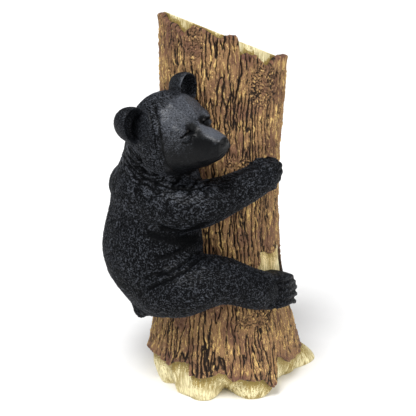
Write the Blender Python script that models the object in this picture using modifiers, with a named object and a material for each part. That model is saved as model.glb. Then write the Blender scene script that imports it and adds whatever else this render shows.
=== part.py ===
"""Bear cub hugging a tree stump, as one cast solid that stands on its flat underside.

Frame: +Z up, origin on the floor under the stump's axis. The cub's back is on the -X side and its right
arm and leg cross the -Y side. Lengths are in metres and angles in degrees, counterclockwise from +X.
"""

import math

import bmesh
import bpy
import numpy as np
from mathutils import Matrix, Vector

# Stump
STATUE_HEIGHT = 0.560  # floor to the high side of the sawn top
STUMP_RADIUS = 0.083  # outside of the bark at the waist, the narrowest place
BARK_THICKNESS = 0.007
BARK_RELIEF = 0.0022  # how far the bark's ridges stand above and below its mean surface
TOP_SLOPE_X = 21.1  # the sawn top falls towards +X
TOP_SLOPE_Y = 4.9  # and a little away from the front
FLOOR_RADIUS = 0.100  # mean radius of the bare wood on the floor
BARE_WOOD_HEIGHT = 0.036  # mean height of the bark's lower edge above the floor
PATCH_HEIGHT = 0.046  # the place where the bark has come off
PATCH_BASE = 0.183
PATCH_AZIMUTH = 325.0

# Cub
CUB_HEIGHT = 0.350  # underside of the rump to the crown of the head
CUB_SEAT = 0.112  # floor to the underside of the rump
CUB_AZIMUTH = 207.0  # side of the stump that the cub's belly lies on
HEAD_HEADING = -38.0  # where the muzzle points
HEAD_PITCH = -2.0
HEAD_ROLL = 17.0  # right ear down

# Mesh
COLUMNS = 96  # points round the stump
BARK_ROWS = 15
SKIN_VOXEL = 0.0042  # grid for the torso and limbs
DETAIL_VOXEL = 0.0026  # grid once ears, muzzle and toes are on
CUB_TRIANGLES = 5600

# Stump sections: share of the statue's height, then radius of the bark as a share of the waist's
STUMP_PROFILE = (
    (0.00, 1.40), (0.05, 1.385), (0.09, 1.355), (0.125, 1.315), (0.16, 1.27), (0.22, 1.17), (0.29, 1.10),
    (0.36, 1.055), (0.50, 1.00), (0.65, 1.00), (0.80, 1.07), (0.88, 1.08), (1.10, 1.08),
)
# Roots and the hollows between them: azimuth, half width, and reach past FLOOR_RADIUS as a share of it
FLOOR_LOBES = (
    (17, 26, 0.62), (40, 16, -0.14), (62, 18, 0.10), (84, 14, -0.22), (106, 18, 0.12), (130, 14, -0.24),
    (152, 16, 0.04), (174, 13, -0.14), (217, 12, -0.17), (250, 12, 0.05), (275, 18, -0.36), (302, 16, 0.08),
    (336, 16, -0.08), (354, 8, 0.10),
)
# Roots under the bark: azimuth, half width, and reach at the floor as a share of FLOOR_RADIUS
BARK_ROOTS = (
    (14, 40, 0.24), (62, 24, 0.05), (106, 24, 0.07), (192, 24, 0.05), (250, 20, 0.03), (302, 20, 0.05),
)
# Bare patch: share of its height, then azimuths of its left and right edges from its middle
PATCH_EDGES = ((0.00, -18, 36), (0.35, -16, 35), (0.62, -14, 33), (0.80, -12, 31), (1.00, 14, 28))
# Broken upper edge of the bark: azimuth, and drop below the sawn top as a share of the waist radius
BARK_TOP = (
    (0, -0.05), (14, 0.00), (24, 0.18), (40, 0.08), (62, 0.26), (80, 0.05), (104, 0.12), (118, 0.32),
    (138, 0.10), (160, 0.20), (172, 0.08), (190, 0.05), (203, 0.03), (211, 0.13), (223, 0.135),
    (233.5, 0.25), (238, 0.145), (243, 0.04), (257, 0.05), (264, 0.09), (271, 0.01), (280, -0.05),
    (284, 0.22), (290, 0.145), (298, 0.125), (304, 0.17), (310.6, 0.25), (316, 0.16), (321, 0.05),
    (330, -0.03), (344, -0.065),
)
# Broken lower edge of the bark: azimuth, and height as a share of BARE_WOOD_HEIGHT
BARK_BOTTOM = (
    (0, 0.90), (20, 1.10), (45, 0.65), (70, 1.20), (100, 0.80), (125, 1.40), (150, 0.90), (175, 1.15),
    (200, 1.45), (212, 1.50), (225, 1.35), (230, 1.60), (243, 1.70), (247, 1.20), (255, 1.17), (262, 1.28),
    (268, 1.45), (272, 1.40), (278, 1.04), (281.5, 1.16), (289, 1.03), (302, 1.00), (306, 0.64), (310, 0.46),
    (314, 1.65), (318, 1.67), (325, 1.50), (334, 1.10), (345, 1.00),
)

# The cub's free forms are shares of CUB_HEIGHT. A place is given as turn, out and up: degrees round the
# stump from CUB_AZIMUTH, then off the bark and above CUB_SEAT.
HEAD_PLACE = (31.0, 0.130, 0.862)  # the skull's middle
# Torso from rump to neck: turn, out and up of the middle, then radii outward and round the stump
TORSO = (
    (0, 0.060, 0.030, 0.030, 0.060), (0, 0.060, 0.065, 0.072, 0.150), (0, 0.062, 0.120, 0.125, 0.215),
    (0, 0.068, 0.200, 0.178, 0.250), (0, 0.076, 0.280, 0.204, 0.258), (0, 0.080, 0.360, 0.208, 0.252),
    (0, 0.078, 0.450, 0.196, 0.240), (1, 0.072, 0.530, 0.184, 0.230), (3, 0.070, 0.610, 0.184, 0.224),
    (6, 0.075, 0.680, 0.156, 0.192), (10, 0.088, 0.750, 0.132, 0.156), (15, 0.100, 0.820, 0.120, 0.132),
    (20, 0.110, 0.880, 0.100, 0.110), (22, 0.110, 0.930, 0.050, 0.050),
)
# Limbs from the body to the paw: turn, how far the top stands off the bark, up, and half width
ARM = (
    (10, 0.200, 0.575, 0.095), (22, 0.245, 0.564, 0.120), (36, 0.245, 0.560, 0.112), (50, 0.212, 0.570, 0.096),
    (64, 0.165, 0.594, 0.082), (80, 0.128, 0.622, 0.074), (95, 0.104, 0.642, 0.068), (108, 0.080, 0.650, 0.060),
)
LEG = (
    (10, 0.205, 0.215, 0.110), (24, 0.255, 0.212, 0.130), (38, 0.262, 0.228, 0.126), (50, 0.232, 0.250, 0.112),
    (62, 0.190, 0.250, 0.100), (76, 0.152, 0.218, 0.092), (92, 0.128, 0.182, 0.086), (106, 0.102, 0.150, 0.086),
    (116, 0.074, 0.138, 0.076),
)
ROOT_DEPTH = 0.040  # how far limbs are sunk under the bark's surface
# Toes: turn, then offset across the limb
HAND_TOES = ((116, 0.052), (123, 0.027), (125, 0.000), (123, -0.027), (116, -0.052))
FOOT_TOES = ((132, 0.052), (139, 0.027), (141, 0.001), (139, -0.026), (133, -0.052))
# Paws: turn and up of the middle, tilt, radii, toes, and the radii of a toe
HAND = ((104, 0.650), 4, (0.078, 0.086, 0.078), HAND_TOES, (0.046, 0.030, 0.018))
FOOT = ((108, 0.152), -12, (0.090, 0.100, 0.088), FOOT_TOES, (0.062, 0.050, 0.018))
# Head from the nape to the nose tip: forward, half width, then top and bottom above the skull's middle
HEAD = (
    (-0.158, 0.040, 0.040, -0.050), (-0.130, 0.094, 0.094, -0.096), (-0.080, 0.134, 0.134, -0.132),
    (-0.020, 0.150, 0.150, -0.150), (0.040, 0.148, 0.142, -0.158), (0.082, 0.132, 0.118, -0.152),
    (0.114, 0.106, 0.086, -0.142), (0.140, 0.082, 0.056, -0.130), (0.168, 0.068, 0.040, -0.116),
    (0.196, 0.060, 0.031, -0.101), (0.222, 0.053, 0.022, -0.086), (0.243, 0.043, 0.012, -0.069),
    (0.257, 0.028, 0.000, -0.052), (0.264, 0.012, -0.014, -0.036),
)
# Ears: forward, left and up of the middle, then radii (depth, half width, half height) and lean
EARS = (
    ((-0.052, -0.142, 0.078), (0.060, 0.066, 0.080), 30),
    ((0.006, 0.110, 0.124), (0.056, 0.054, 0.064), -8),
)


def polar(radius, azimuth, height):
    angle = math.radians(azimuth)
    return Vector((radius * math.cos(angle), radius * math.sin(angle), height))


def around(pairs, azimuth):
    """Value at an azimuth of a closed outline, given as (azimuth, value) pairs."""
    angles, values = zip(*pairs)
    return np.interp(azimuth, angles, values, period=360)


def bump(azimuth, centre, half_width):
    """1 at the centre and 0 at half_width on either side, smoothly."""
    away = np.abs((azimuth - centre + 180) % 360 - 180) / half_width
    return np.where(away < 1, 0.5 + 0.5 * np.cos(np.pi * np.minimum(away, 1)), 0.0)


def stump_radius(height):
    """Mean outside radius of the bark at a height, before roots and ridges."""
    shares, radii = zip(*STUMP_PROFILE)
    return STUMP_RADIUS * np.interp(height / STATUE_HEIGHT, shares, radii)


def sawn_top(x, y):
    """Height of the sawn face over a point of the plan; the high side of its rim is at STATUE_HEIGHT."""
    fall_x = math.tan(math.radians(TOP_SLOPE_X))
    fall_y = math.tan(math.radians(TOP_SLOPE_Y))
    rim = STUMP_RADIUS * STUMP_PROFILE[-1][1] - BARK_THICKNESS
    return STATUE_HEIGHT - rim * math.hypot(fall_x, fall_y) - x * fall_x - y * fall_y


def bark_radius(azimuth, height):
    """Outside of the bark, with its roots and without its ridges."""
    flare = np.exp(-height / (0.14 * STATUE_HEIGHT))
    reach = sum(share * bump(azimuth, centre, half_width) for centre, half_width, share in BARK_ROOTS)
    return stump_radius(height) + FLOOR_RADIUS * reach * flare


def floor_radius(azimuth):
    """Outline of the bare wood on the floor, with lobes at the roots."""
    lobes = sum(share * bump(azimuth, centre, half_width) for centre, half_width, share in FLOOR_LOBES)
    return FLOOR_RADIUS * (1 + lobes)


def bark_ridges(azimuth, height):
    """Upright ridges that wander and break as they climb, from -1 to 1."""
    ridges = COLUMNS // 4
    climb = height / STATUE_HEIGHT
    wander = 0.9 * np.sin(9 * climb + 0.05 * azimuth) + 0.6 * np.sin(23 * climb - 0.11 * azimuth)
    wave = np.cos(np.radians(azimuth) * ridges + wander)
    breaks = 0.55 + 0.45 * np.sin(31 * climb + np.radians(azimuth) * 7)
    return wave * breaks + 0.5 * np.sin(np.radians(azimuth) * 5 + 6 * climb)


def ring(azimuth, radius, height):
    angle = np.radians(azimuth)
    return np.stack([radius * np.cos(angle), radius * np.sin(angle), height], axis=1)


def stump_rings():
    """Closed sections from the floor to the sawn top: bare wood, the bark's lip, bark, lip and bare wood."""
    azimuth = np.arange(COLUMNS) * 360 / COLUMNS
    rim = ring(azimuth, STUMP_RADIUS * STUMP_PROFILE[-1][1] - BARK_THICKNESS, 0 * azimuth)
    cut = sawn_top(rim[:, 0], rim[:, 1])
    top = cut - around(BARK_TOP, azimuth) * STUMP_RADIUS
    bottom = BARE_WOOD_HEIGHT * around(BARK_BOTTOM, azimuth)
    rings = [ring(azimuth, floor_radius(azimuth), 0 * azimuth)]
    under_bark = bark_radius(azimuth, bottom) - BARK_THICKNESS
    middle = 0.5 * (floor_radius(azimuth) + under_bark)
    rings.append(ring(azimuth, np.maximum(middle, 0.94 * under_bark), 0.55 * bottom))
    rings.append(ring(azimuth, under_bark, bottom))
    for step in np.linspace(0, 1, BARK_ROWS):
        height = bottom + (top - bottom) * step
        relief = BARK_RELIEF * bark_ridges(azimuth, height)
        rings.append(ring(azimuth, bark_radius(azimuth, height) + relief, height))
    rings.append(ring(azimuth, bark_radius(azimuth, top) - BARK_THICKNESS, top))
    rings.append(ring(azimuth, bark_radius(azimuth, cut) - 1.15 * BARK_THICKNESS, cut))
    return rings


def patch_rings():
    """Curved slabs that take the bark off between the edges of the bare patch, one for each height."""
    rings = []
    for share, left, right in PATCH_EDGES:
        height = PATCH_BASE + share * PATCH_HEIGHT
        azimuth = PATCH_AZIMUTH + np.linspace(left, right, 8)
        level = np.full(len(azimuth), height)
        wood = bark_radius(azimuth, level) - BARK_THICKNESS
        inner = ring(azimuth, wood, level)
        outer = ring(azimuth, wood + 4 * BARK_THICKNESS, level)
        rings.append(np.concatenate([outer, inner[::-1]]))
    return rings


def loft(name, rings):
    """Closed mesh through rings of equally many points, from the lowest up, with a flat cap at each end."""
    shape = bmesh.new()
    rows = [[shape.verts.new(point) for point in points] for points in rings]
    for low, high in zip(rows, rows[1:]):
        for i in range(len(low)):
            j = (i + 1) % len(low)
            shape.faces.new((low[i], low[j], high[j], high[i]))
    shape.faces.new(rows[0][::-1])
    shape.faces.new(rows[-1])
    return finished(name, shape)


def finished(name, shape):
    """Object from a bmesh, linked to the scene."""
    mesh = bpy.data.meshes.new(name)
    shape.to_mesh(mesh)
    shape.free()
    obj = bpy.data.objects.new(name, mesh)
    bpy.context.scene.collection.objects.link(obj)
    return obj


def evaluated_mesh(obj):
    """The object's mesh with its modifiers applied, in world space, with loose caps welded."""
    bpy.context.view_layer.update()
    graph = bpy.context.evaluated_depsgraph_get()
    mesh = bpy.data.meshes.new_from_object(obj.evaluated_get(graph))
    mesh.transform(obj.matrix_world)
    shape = bmesh.new()
    shape.from_mesh(mesh)
    bmesh.ops.remove_doubles(shape, verts=shape.verts, dist=0.00002)
    shape.to_mesh(mesh)
    shape.free()
    return mesh


def joined(name, objects):
    """One object that holds the evaluated shapes of several, which are removed."""
    shape = bmesh.new()
    for obj in objects:
        shape.from_mesh(evaluated_mesh(obj))
        bpy.data.objects.remove(obj)
    return finished(name, shape)


def cub_point(turn, out, up):
    """Point at a turn from the cub's middle plane, and at shares of its height off the bark and up."""
    height = CUB_SEAT + up * CUB_HEIGHT
    return polar(stump_radius(height) + out * CUB_HEIGHT, CUB_AZIMUTH + turn, height)


def ellipsoid(name, centre, radii, axes=Matrix.Identity(3)):
    """Round solid whose radii along the columns of axes are shares of the cub's height."""
    shape = bmesh.new()
    size = [radius * CUB_HEIGHT for radius in radii]
    place = Matrix.Translation(centre) @ axes.to_4x4() @ Matrix.Diagonal((*size, 1))
    bmesh.ops.create_uvsphere(shape, u_segments=36, v_segments=22, radius=1, matrix=place)
    return finished(name, shape)


def refined(stations, factor=3):
    """More stations between those given, on smooth curves through them."""
    table = np.array(stations, float)
    place = np.linspace(0, len(table) - 1, factor * (len(table) - 1) + 1)
    i = np.minimum(place.astype(int), len(table) - 2)
    s = (place - i)[:, None]
    slope = np.gradient(table, axis=0)
    ends = table[i] * (2 * s**3 - 3 * s**2 + 1) + table[i + 1] * (3 * s**2 - 2 * s**3)
    return ends + slope[i] * (s**3 - 2 * s**2 + s) + slope[i + 1] * (s**3 - s**2)


def ellipse_ring(centre, first, second, points=28):
    """Points round an ellipse given by its centre and two half axes."""
    angle = np.arange(points)[:, None] * 2 * np.pi / points
    return np.array(centre) + np.cos(angle) * np.array(first) + np.sin(angle) * np.array(second)


def torso():
    rings = []
    for turn, out, up, depth, width in refined(TORSO):
        outward = polar(CUB_HEIGHT, CUB_AZIMUTH + turn, 0)
        sideways = polar(CUB_HEIGHT, CUB_AZIMUTH + turn + 90, 0)
        rings.append(ellipse_ring(cub_point(turn, out, up), outward * depth, sideways * width))
    return loft("torso", rings)


def limb(name, side, stations):
    """Tapered limb that hugs the bark; its sections are ellipses sunk ROOT_DEPTH under the bark."""
    stations = refined(stations)
    middles = [cub_point(side * turn, 0.5 * (crest - ROOT_DEPTH), up) for turn, crest, up, _ in stations]
    rings = []
    for i, (turn, crest, _, half_width) in enumerate(stations):
        run = middles[min(i + 1, len(middles) - 1)] - middles[max(i - 1, 0)]
        outward = polar(1, CUB_AZIMUTH + side * turn, 0)
        across = run.cross(outward).normalized() * side
        first = across.cross(run).normalized() * side * 0.5 * (crest + ROOT_DEPTH) * CUB_HEIGHT
        rings.append(ellipse_ring(middles[i], first, across * half_width * CUB_HEIGHT))
    return loft(name, rings)


def along_stump(turn, tilt):
    """Axes at a turn round the stump: outward, along a limb that climbs by tilt, and across it."""
    outward = polar(1, CUB_AZIMUTH + turn, 0)
    level = polar(1, CUB_AZIMUTH + turn + math.copysign(90, turn), 0)
    up = Vector((0, 0, 1))
    slope = math.radians(tilt)
    run = level * math.cos(slope) + up * math.sin(slope)
    cross = up * math.cos(slope) - level * math.sin(slope)
    return Matrix((outward, run, cross)).transposed()


def paw(name, side, place, tilt, radii, toes, toe_radii):
    """Pad on the bark with toes along its far edge; radii are off the bark, along the limb and across."""
    turn, up = place
    pieces = [ellipsoid(name, cub_point(side * turn, 0, up), radii, along_stump(side * turn, tilt))]
    for toe_turn, offset in toes:
        run = math.radians(toe_turn - turn) * STUMP_RADIUS / CUB_HEIGHT
        rise = run * math.tan(math.radians(tilt)) + offset
        centre = cub_point(side * toe_turn, 0, up + rise)
        pieces.append(ellipsoid(name, centre, toe_radii, along_stump(side * toe_turn, tilt)))
    return pieces


def head_axes():
    """Axes of the head as columns: forward, to the cub's left, and up."""
    turn = Matrix.Rotation(math.radians(HEAD_HEADING), 3, "Z")
    pitch = Matrix.Rotation(math.radians(-HEAD_PITCH), 3, "Y")
    roll = Matrix.Rotation(math.radians(HEAD_ROLL), 3, "X")
    return turn @ pitch @ roll


def head_point(forward, left, up):
    """Point given in shares of the cub's height from the middle of the skull, along the head's own axes."""
    return cub_point(*HEAD_PLACE) + head_axes() @ (Vector((forward, left, up)) * CUB_HEIGHT)


def ear(place, radii, lean):
    """Round cup that opens forward, with its hollow cut into it."""
    axes = head_axes() @ Matrix.Rotation(math.radians(lean), 3, "X")
    root = head_point(*place)
    outer = ellipsoid("ear", root, radii, axes)
    depth, half_width, half_height = radii
    hollow = root + axes @ (Vector((0.85 * depth, 0, 0.004)) * CUB_HEIGHT)
    cup = ellipsoid("ear_cup", hollow, (depth, 0.76 * half_width, 0.78 * half_height), axes)
    cup.hide_render = True
    cut = outer.modifiers.new("Cup", "BOOLEAN")
    cut.operation = "DIFFERENCE"
    cut.object = cup
    piece = joined("ear", [outer])
    bpy.data.objects.remove(cup)
    return piece


def cub_head():
    """Skull and muzzle as one run of sections, then jaw, brows and nose."""
    axes = head_axes()
    rings = []
    for forward, half_width, top, bottom in refined(HEAD):
        across = axes @ Vector((0, half_width * CUB_HEIGHT, 0))
        upward = axes @ Vector((0, 0, 0.5 * (top - bottom) * CUB_HEIGHT))
        rings.append(ellipse_ring(head_point(forward, 0, 0.5 * (top + bottom)), across, upward))
    pieces = [loft("head", rings)]
    pieces.append(ellipsoid("jaw", head_point(-0.005, 0, -0.080), (0.125, 0.142, 0.100), axes))
    for side in (1, -1):
        pieces.append(ellipsoid("brow", head_point(0.088, side * 0.058, 0.030), (0.056, 0.050, 0.046), axes))
    pieces.append(ellipsoid("nose", head_point(0.246, 0, -0.012), (0.024, 0.034, 0.026), axes))
    return pieces


def cub():
    """The cub's skin: big forms melted together, then ears, tail and paws added and lightly smoothed."""
    bulk = [torso(), *cub_head()]
    details = [*(ear(*form) for form in EARS), ellipsoid("tail", cub_point(2, 0.112, 0.052), (0.036, 0.036, 0.060))]
    for side in (1, -1):
        bulk += [limb("arm", side, ARM), limb("leg", side, LEG)]
        details += paw("hand", side, *HAND)
        details += paw("foot", side, *FOOT)
    skin = joined("skin", bulk)
    remesh(skin, SKIN_VOXEL)
    smooth(skin, 8)
    whole = joined("cub", [skin, *details])
    remesh(whole, DETAIL_VOXEL)
    smooth(whole, 3)
    whole = joined("cub", [whole])
    thin = whole.modifiers.new("Fewer faces", "DECIMATE")
    thin.ratio = CUB_TRIANGLES / (2 * len(whole.data.polygons))
    return whole


def remesh(obj, voxel):
    modifier = obj.modifiers.new("Melt", "REMESH")
    modifier.mode = "VOXEL"
    modifier.voxel_size = voxel


def smooth(obj, rounds):
    modifier = obj.modifiers.new("Soften", "SMOOTH")
    modifier.factor = 0.5
    modifier.iterations = rounds


def painted_resin():
    material = bpy.data.materials.new("painted_resin")
    material.use_nodes = True
    shader = material.node_tree.nodes["Principled BSDF"]
    shader.inputs["Base Color"].default_value = (0.16, 0.10, 0.06, 1)
    shader.inputs["Roughness"].default_value = 0.6
    shader.inputs["Metallic"].default_value = 0.0
    return material


def statue():
    """Stump and cub joined into the one casting."""
    stump = loft("climbing_bear_statue", stump_rings())
    figure = cub()
    figure.hide_render = True
    figure.display_type = "WIRE"
    patch = loft("bare_patch", patch_rings())
    patch.hide_render = True
    patch.display_type = "WIRE"
    for helper, operation in ((patch, "DIFFERENCE"), (figure, "UNION")):
        change = stump.modifiers.new(helper.name, "BOOLEAN")
        change.operation = operation
        change.object = helper
    stump.data.materials.append(painted_resin())
    return stump, [figure, patch]


def in_collection(name, objects):
    collection = bpy.data.collections.new(name)
    bpy.context.scene.collection.children.link(collection)
    for obj in objects:
        for old in list(obj.users_collection):
            old.objects.unlink(obj)
        collection.objects.link(obj)


def main():
    for obj in list(bpy.data.objects):
        bpy.data.objects.remove(obj)
    casting, helpers = statue()
    in_collection("climbing_bear_statue", [casting])
    in_collection("joined_shapes", helpers)


main()
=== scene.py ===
"""Painted cast figure of a bear cub that hugs a sawn tree stump, with the finish of every surface.

Lengths are in metres and angles in degrees, counterclockwise from +X round the stump's axis. Relief is given
in millimetres. The cub's places are given as turn (degrees from its middle plane), out and up (shares of its
height, off the bark and above its seat), and the head's as forward, left and up from the middle of the skull.
"""

import math

import bpy
import numpy as np
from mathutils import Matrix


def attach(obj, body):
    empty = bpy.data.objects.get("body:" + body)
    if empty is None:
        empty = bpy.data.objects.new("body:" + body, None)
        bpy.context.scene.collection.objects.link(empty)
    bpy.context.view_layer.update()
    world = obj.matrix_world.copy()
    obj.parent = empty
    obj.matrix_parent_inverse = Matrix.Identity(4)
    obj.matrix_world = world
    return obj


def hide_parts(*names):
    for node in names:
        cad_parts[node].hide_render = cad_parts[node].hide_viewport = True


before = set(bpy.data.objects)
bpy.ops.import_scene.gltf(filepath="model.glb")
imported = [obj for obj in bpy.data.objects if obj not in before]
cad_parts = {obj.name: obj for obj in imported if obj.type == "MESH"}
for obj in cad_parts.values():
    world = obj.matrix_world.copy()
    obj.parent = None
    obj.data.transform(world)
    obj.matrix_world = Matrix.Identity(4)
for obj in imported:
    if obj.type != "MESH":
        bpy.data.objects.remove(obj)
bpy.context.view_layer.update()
CAD_NODE = "climbing_bear_statue"
BODY = "root"
CAMERA_PLACE = (-0.021, -1.2, 0.64)
CAMERA_AIM_HEIGHT = 0.27
FOCAL_PIXELS, PICTURE_PIXELS = 833.7, 416.0

bl_info = {
    "name": "Climbing bear statue",
    "version": (1, 0, 0),
    "blender": (4, 5, 0),
    "location": "3D View > Sidebar > Bear statue",
    "description": "Bear cub on a tree stump: wood, bark, fur and eyes, with their paint",
    "category": "Object",
}

MM = 0.001
# Grid spacings of the cub's skin before and after its details are melted in
BODY_VOXELS = (0.0028, 0.00125)
HEAD_VOXELS = (0.0020, 0.00095)
# Triangles of a piece
MOST_TRIANGLES = 195000
BACK_TRIANGLES = 110000
# Steps round the stump: bare wood, and the front and back of the bark
WOOD_COLUMNS, FRONT_COLUMNS, BACK_COLUMNS = 480, 434, 210
BARK_ROWS = 480


def shifted(path, first=0.0, second=0.0, third=0.0):
    """The path with an amount added to each of its three coordinates."""
    return tuple((a + first, b + second, c + third) for a, b, c in path)


# Stump

STATUE_HEIGHT = 0.560
STUMP_RADIUS = 0.083
TOP_SLOPE_X = 21.1
TOP_SLOPE_Y = 4.9
FLOOR_RADIUS = 0.100
BARE_WOOD_HEIGHT = 0.036
# Share of the statue's height, then radius of the bark as a share of the waist's
STUMP_PROFILE = (
    (0.00, 1.40), (0.05, 1.385), (0.09, 1.355), (0.125, 1.315), (0.16, 1.27), (0.22, 1.17), (0.29, 1.10),
    (0.36, 1.055), (0.50, 1.00), (0.65, 1.00), (0.80, 1.07), (0.88, 1.08), (1.10, 1.08),
)
# Roots and hollows of the bare wood: azimuth, half width, and reach past FLOOR_RADIUS as a share of it
FLOOR_LOBES = (
    (17, 26, 0.62), (40, 16, -0.14), (62, 18, 0.10), (84, 14, -0.22), (106, 18, 0.12), (130, 14, -0.24),
    (152, 16, 0.04), (174, 13, -0.14), (217, 12, -0.17), (250, 12, 0.05), (275, 18, -0.36), (302, 16, 0.08),
    (336, 16, -0.08), (354, 8, 0.10),
)
BARK_ROOTS = (
    (14, 40, 0.24), (62, 24, 0.05), (106, 24, 0.07), (192, 24, 0.05), (250, 20, 0.03), (302, 20, 0.05),
)
# Broken upper edge of the bark: azimuth, and drop below the sawn top as a share of the waist radius
BARK_TOP = (
    (0, -0.04), (14, 0.00), (24, 0.18), (40, 0.08), (62, 0.26), (80, 0.05), (104, 0.12), (118, 0.32),
    (138, 0.10), (160, 0.20), (172, 0.08), (186, 0.03), (194, 0.01), (201, 0.00), (209.3, 0.10),
    (222.9, 0.105), (232.9, 0.222), (237.2, 0.12), (242.7, 0.02), (250.2, 0.018), (257, 0.035),
    (262.4, 0.077), (266.6, 0.078), (270.8, 0.00), (276, -0.043), (280.2, -0.062), (282.4, -0.02),
    (283.4, 0.222), (290.6, 0.145), (295.4, 0.159), (298.9, 0.128), (304.2, 0.18), (311.2, 0.259),
    (316.4, 0.174), (322.1, 0.063), (331.1, -0.015), (348, -0.044),
)
# Broken lower edge of the bark: azimuth, and height as a share of BARE_WOOD_HEIGHT
BARK_BOTTOM = (
    (0, 0.90), (20, 1.10), (45, 0.65), (70, 1.20), (100, 0.80), (125, 1.40), (150, 0.90), (175, 1.15),
    (200, 1.45), (211, 1.49), (225, 1.34), (230, 1.58), (238, 1.70), (244, 1.71), (244.8, 1.22),
    (255, 1.17), (262, 1.27), (268, 1.45), (272, 1.39), (278, 1.04), (281.5, 1.16), (289, 1.03),
    (298, 0.96), (302, 0.99), (306.4, 0.64), (310.7, 0.46), (315, 0.53), (315.6, 1.35), (318, 1.64),
    (325, 1.51), (334, 1.05), (345, 1.00),
)
# Bare patch beside the foot: azimuth of its middle, its lower edge, degrees from the middle to its sides at
# heights, and heights of its upper edge at degrees from the middle
PATCH_AZIMUTH, PATCH_BASE, PATCH_TOP = 325.0, 0.162, 0.234
PATCH_LEFT = ((0.162, -20), (0.194, -18.5), (0.207, -16), (0.216, -15), (0.225, -13.5))
PATCH_RIGHT = ((0.162, 37), (0.194, 36), (0.212, 33), (0.225, 31), (0.234, 27))
PATCH_CREST = (
    (-16, 0.221), (-11, 0.2235), (-6, 0.2195), (-1, 0.2155), (4, 0.2140), (9, 0.2150), (14, 0.2170),
    (20, 0.2215), (25, 0.2290), (28, 0.2340), (31, 0.2340),
)
# Crumbled places in the bark: azimuth, height, half width round the stump and half height, in mm
KNOTS = (
    (286, 359, 22, 8), (301, 125, 30, 12), (308, 466, 24, 34), (243, 520, 12, 22),
    (60, 300, 26, 20), (120, 430, 22, 26), (150, 120, 28, 18), (20, 160, 24, 16),
)

# Cub

CUB_HEIGHT = 0.350
CUB_SEAT = 0.112
CUB_AZIMUTH = 207.0
HEAD_HEADING, HEAD_PITCH, HEAD_ROLL = -38.0, -2.0, 17.0
HEAD_PLACE = (31.0, 0.130, 0.862)
# Torso from rump to neck: turn, out and up of the middle, then radii outward and round the stump
TORSO = (
    (0, 0.060, 0.030, 0.030, 0.060), (0, 0.060, 0.065, 0.072, 0.150), (0, 0.062, 0.120, 0.125, 0.215),
    (0, 0.068, 0.200, 0.178, 0.250), (0, 0.076, 0.280, 0.204, 0.258), (0, 0.080, 0.360, 0.208, 0.252),
    (0, 0.078, 0.450, 0.196, 0.240), (1, 0.072, 0.530, 0.184, 0.230), (3, 0.070, 0.610, 0.184, 0.224),
    (6, 0.075, 0.680, 0.156, 0.192), (10, 0.088, 0.750, 0.132, 0.156), (15, 0.100, 0.820, 0.120, 0.132),
    (20, 0.110, 0.880, 0.100, 0.110), (22, 0.110, 0.930, 0.050, 0.050),
)
# Limbs from the body to the paw: turn, how far the top stands off the bark, up, and half width
ARM = (
    (10, 0.200, 0.575, 0.095), (22, 0.245, 0.564, 0.120), (36, 0.245, 0.560, 0.112),
    (50, 0.212, 0.570, 0.096), (64, 0.165, 0.594, 0.082), (80, 0.128, 0.622, 0.074),
    (95, 0.104, 0.642, 0.068), (108, 0.080, 0.650, 0.060),
)
LEG = (
    (10, 0.205, 0.215, 0.110), (24, 0.255, 0.212, 0.130), (38, 0.262, 0.228, 0.126),
    (50, 0.232, 0.250, 0.112), (62, 0.190, 0.250, 0.100), (76, 0.150, 0.218, 0.090),
    (90, 0.124, 0.184, 0.088), (101, 0.090, 0.162, 0.084), (109, 0.060, 0.158, 0.076),
)
ROOT_DEPTH = 0.040
# Toes: turn and height where the toe ends
HAND_TOES = ((113, 0.710), (118, 0.692), (119, 0.667), (117, 0.643), (112, 0.616))
FOOT_TOES = ((134, 0.170), (138, 0.139), (140, 0.111), (138, 0.084), (134, 0.059))
# Toe from the paw to its tip and claw: degrees before its end, then crest and half width as shares of those
# given for the paw's toes
TOE = (
    (40, 0.80, 0.70), (32, 0.96, 0.94), (25, 1.00, 1.00), (18, 0.96, 0.97), (11, 0.92, 1.04), (5, 0.84, 1.00),
    (1, 0.62, 0.76), (-1, 0.42, 0.44), (-3, 0.22, 0.20),
)
# Paws: turn, up and tilt of the pad, its radii, toes, then a toe's crest and half width, its stretch, and how
# far it comes down toward its tip, as a share of the cub's height
HAND = (101, 0.649, 8, (0.074, 0.080, 0.078), HAND_TOES, 0.080, 0.0178, 0.45, -0.014)
FOOT = (108, 0.132, -12, (0.080, 0.082, 0.072), FOOT_TOES, 0.0945, 0.0184, 0.90, 0.050)
# Head from the nape to the nose tip: forward, half width, then top and bottom above the skull's middle
HEAD = (
    (-0.158, 0.040, 0.040, -0.050), (-0.130, 0.094, 0.094, -0.096), (-0.080, 0.134, 0.134, -0.132),
    (-0.020, 0.150, 0.150, -0.150), (0.040, 0.148, 0.142, -0.158), (0.082, 0.132, 0.118, -0.152),
    (0.114, 0.106, 0.086, -0.142), (0.140, 0.082, 0.056, -0.130), (0.168, 0.068, 0.040, -0.116),
    (0.196, 0.060, 0.031, -0.101), (0.222, 0.053, 0.022, -0.086), (0.243, 0.043, 0.012, -0.069),
    (0.251, 0.028, 0.000, -0.052), (0.2545, 0.012, -0.014, -0.036),
)
# Ears: forward, left and up of the middle, half width and half height, then lean outwards
EARS = (
    (-0.052, -0.142, 0.078, 0.067, 0.080, 30),
    (0.006, 0.110, 0.124, 0.054, 0.064, -8),
)
# Ear from its back over the rim into the hollow: reach as a share of the half width, and depth
EAR_PROFILE = (
    (0.03, -0.066), (0.35, -0.064), (0.66, -0.053), (0.88, -0.032), (0.985, -0.008), (1.0, 0.010),
    (0.965, 0.022), (0.90, 0.025), (0.82, 0.018), (0.75, 0.000), (0.66, -0.018), (0.50, -0.032),
    (0.30, -0.040), (0.02, -0.042),
)
# Eyeball: forward, left and up of its middle, and its radii
EYE, EYE_RADII = (0.1205, 0.050, 0.0400), (0.0115, 0.014, 0.0085)
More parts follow.
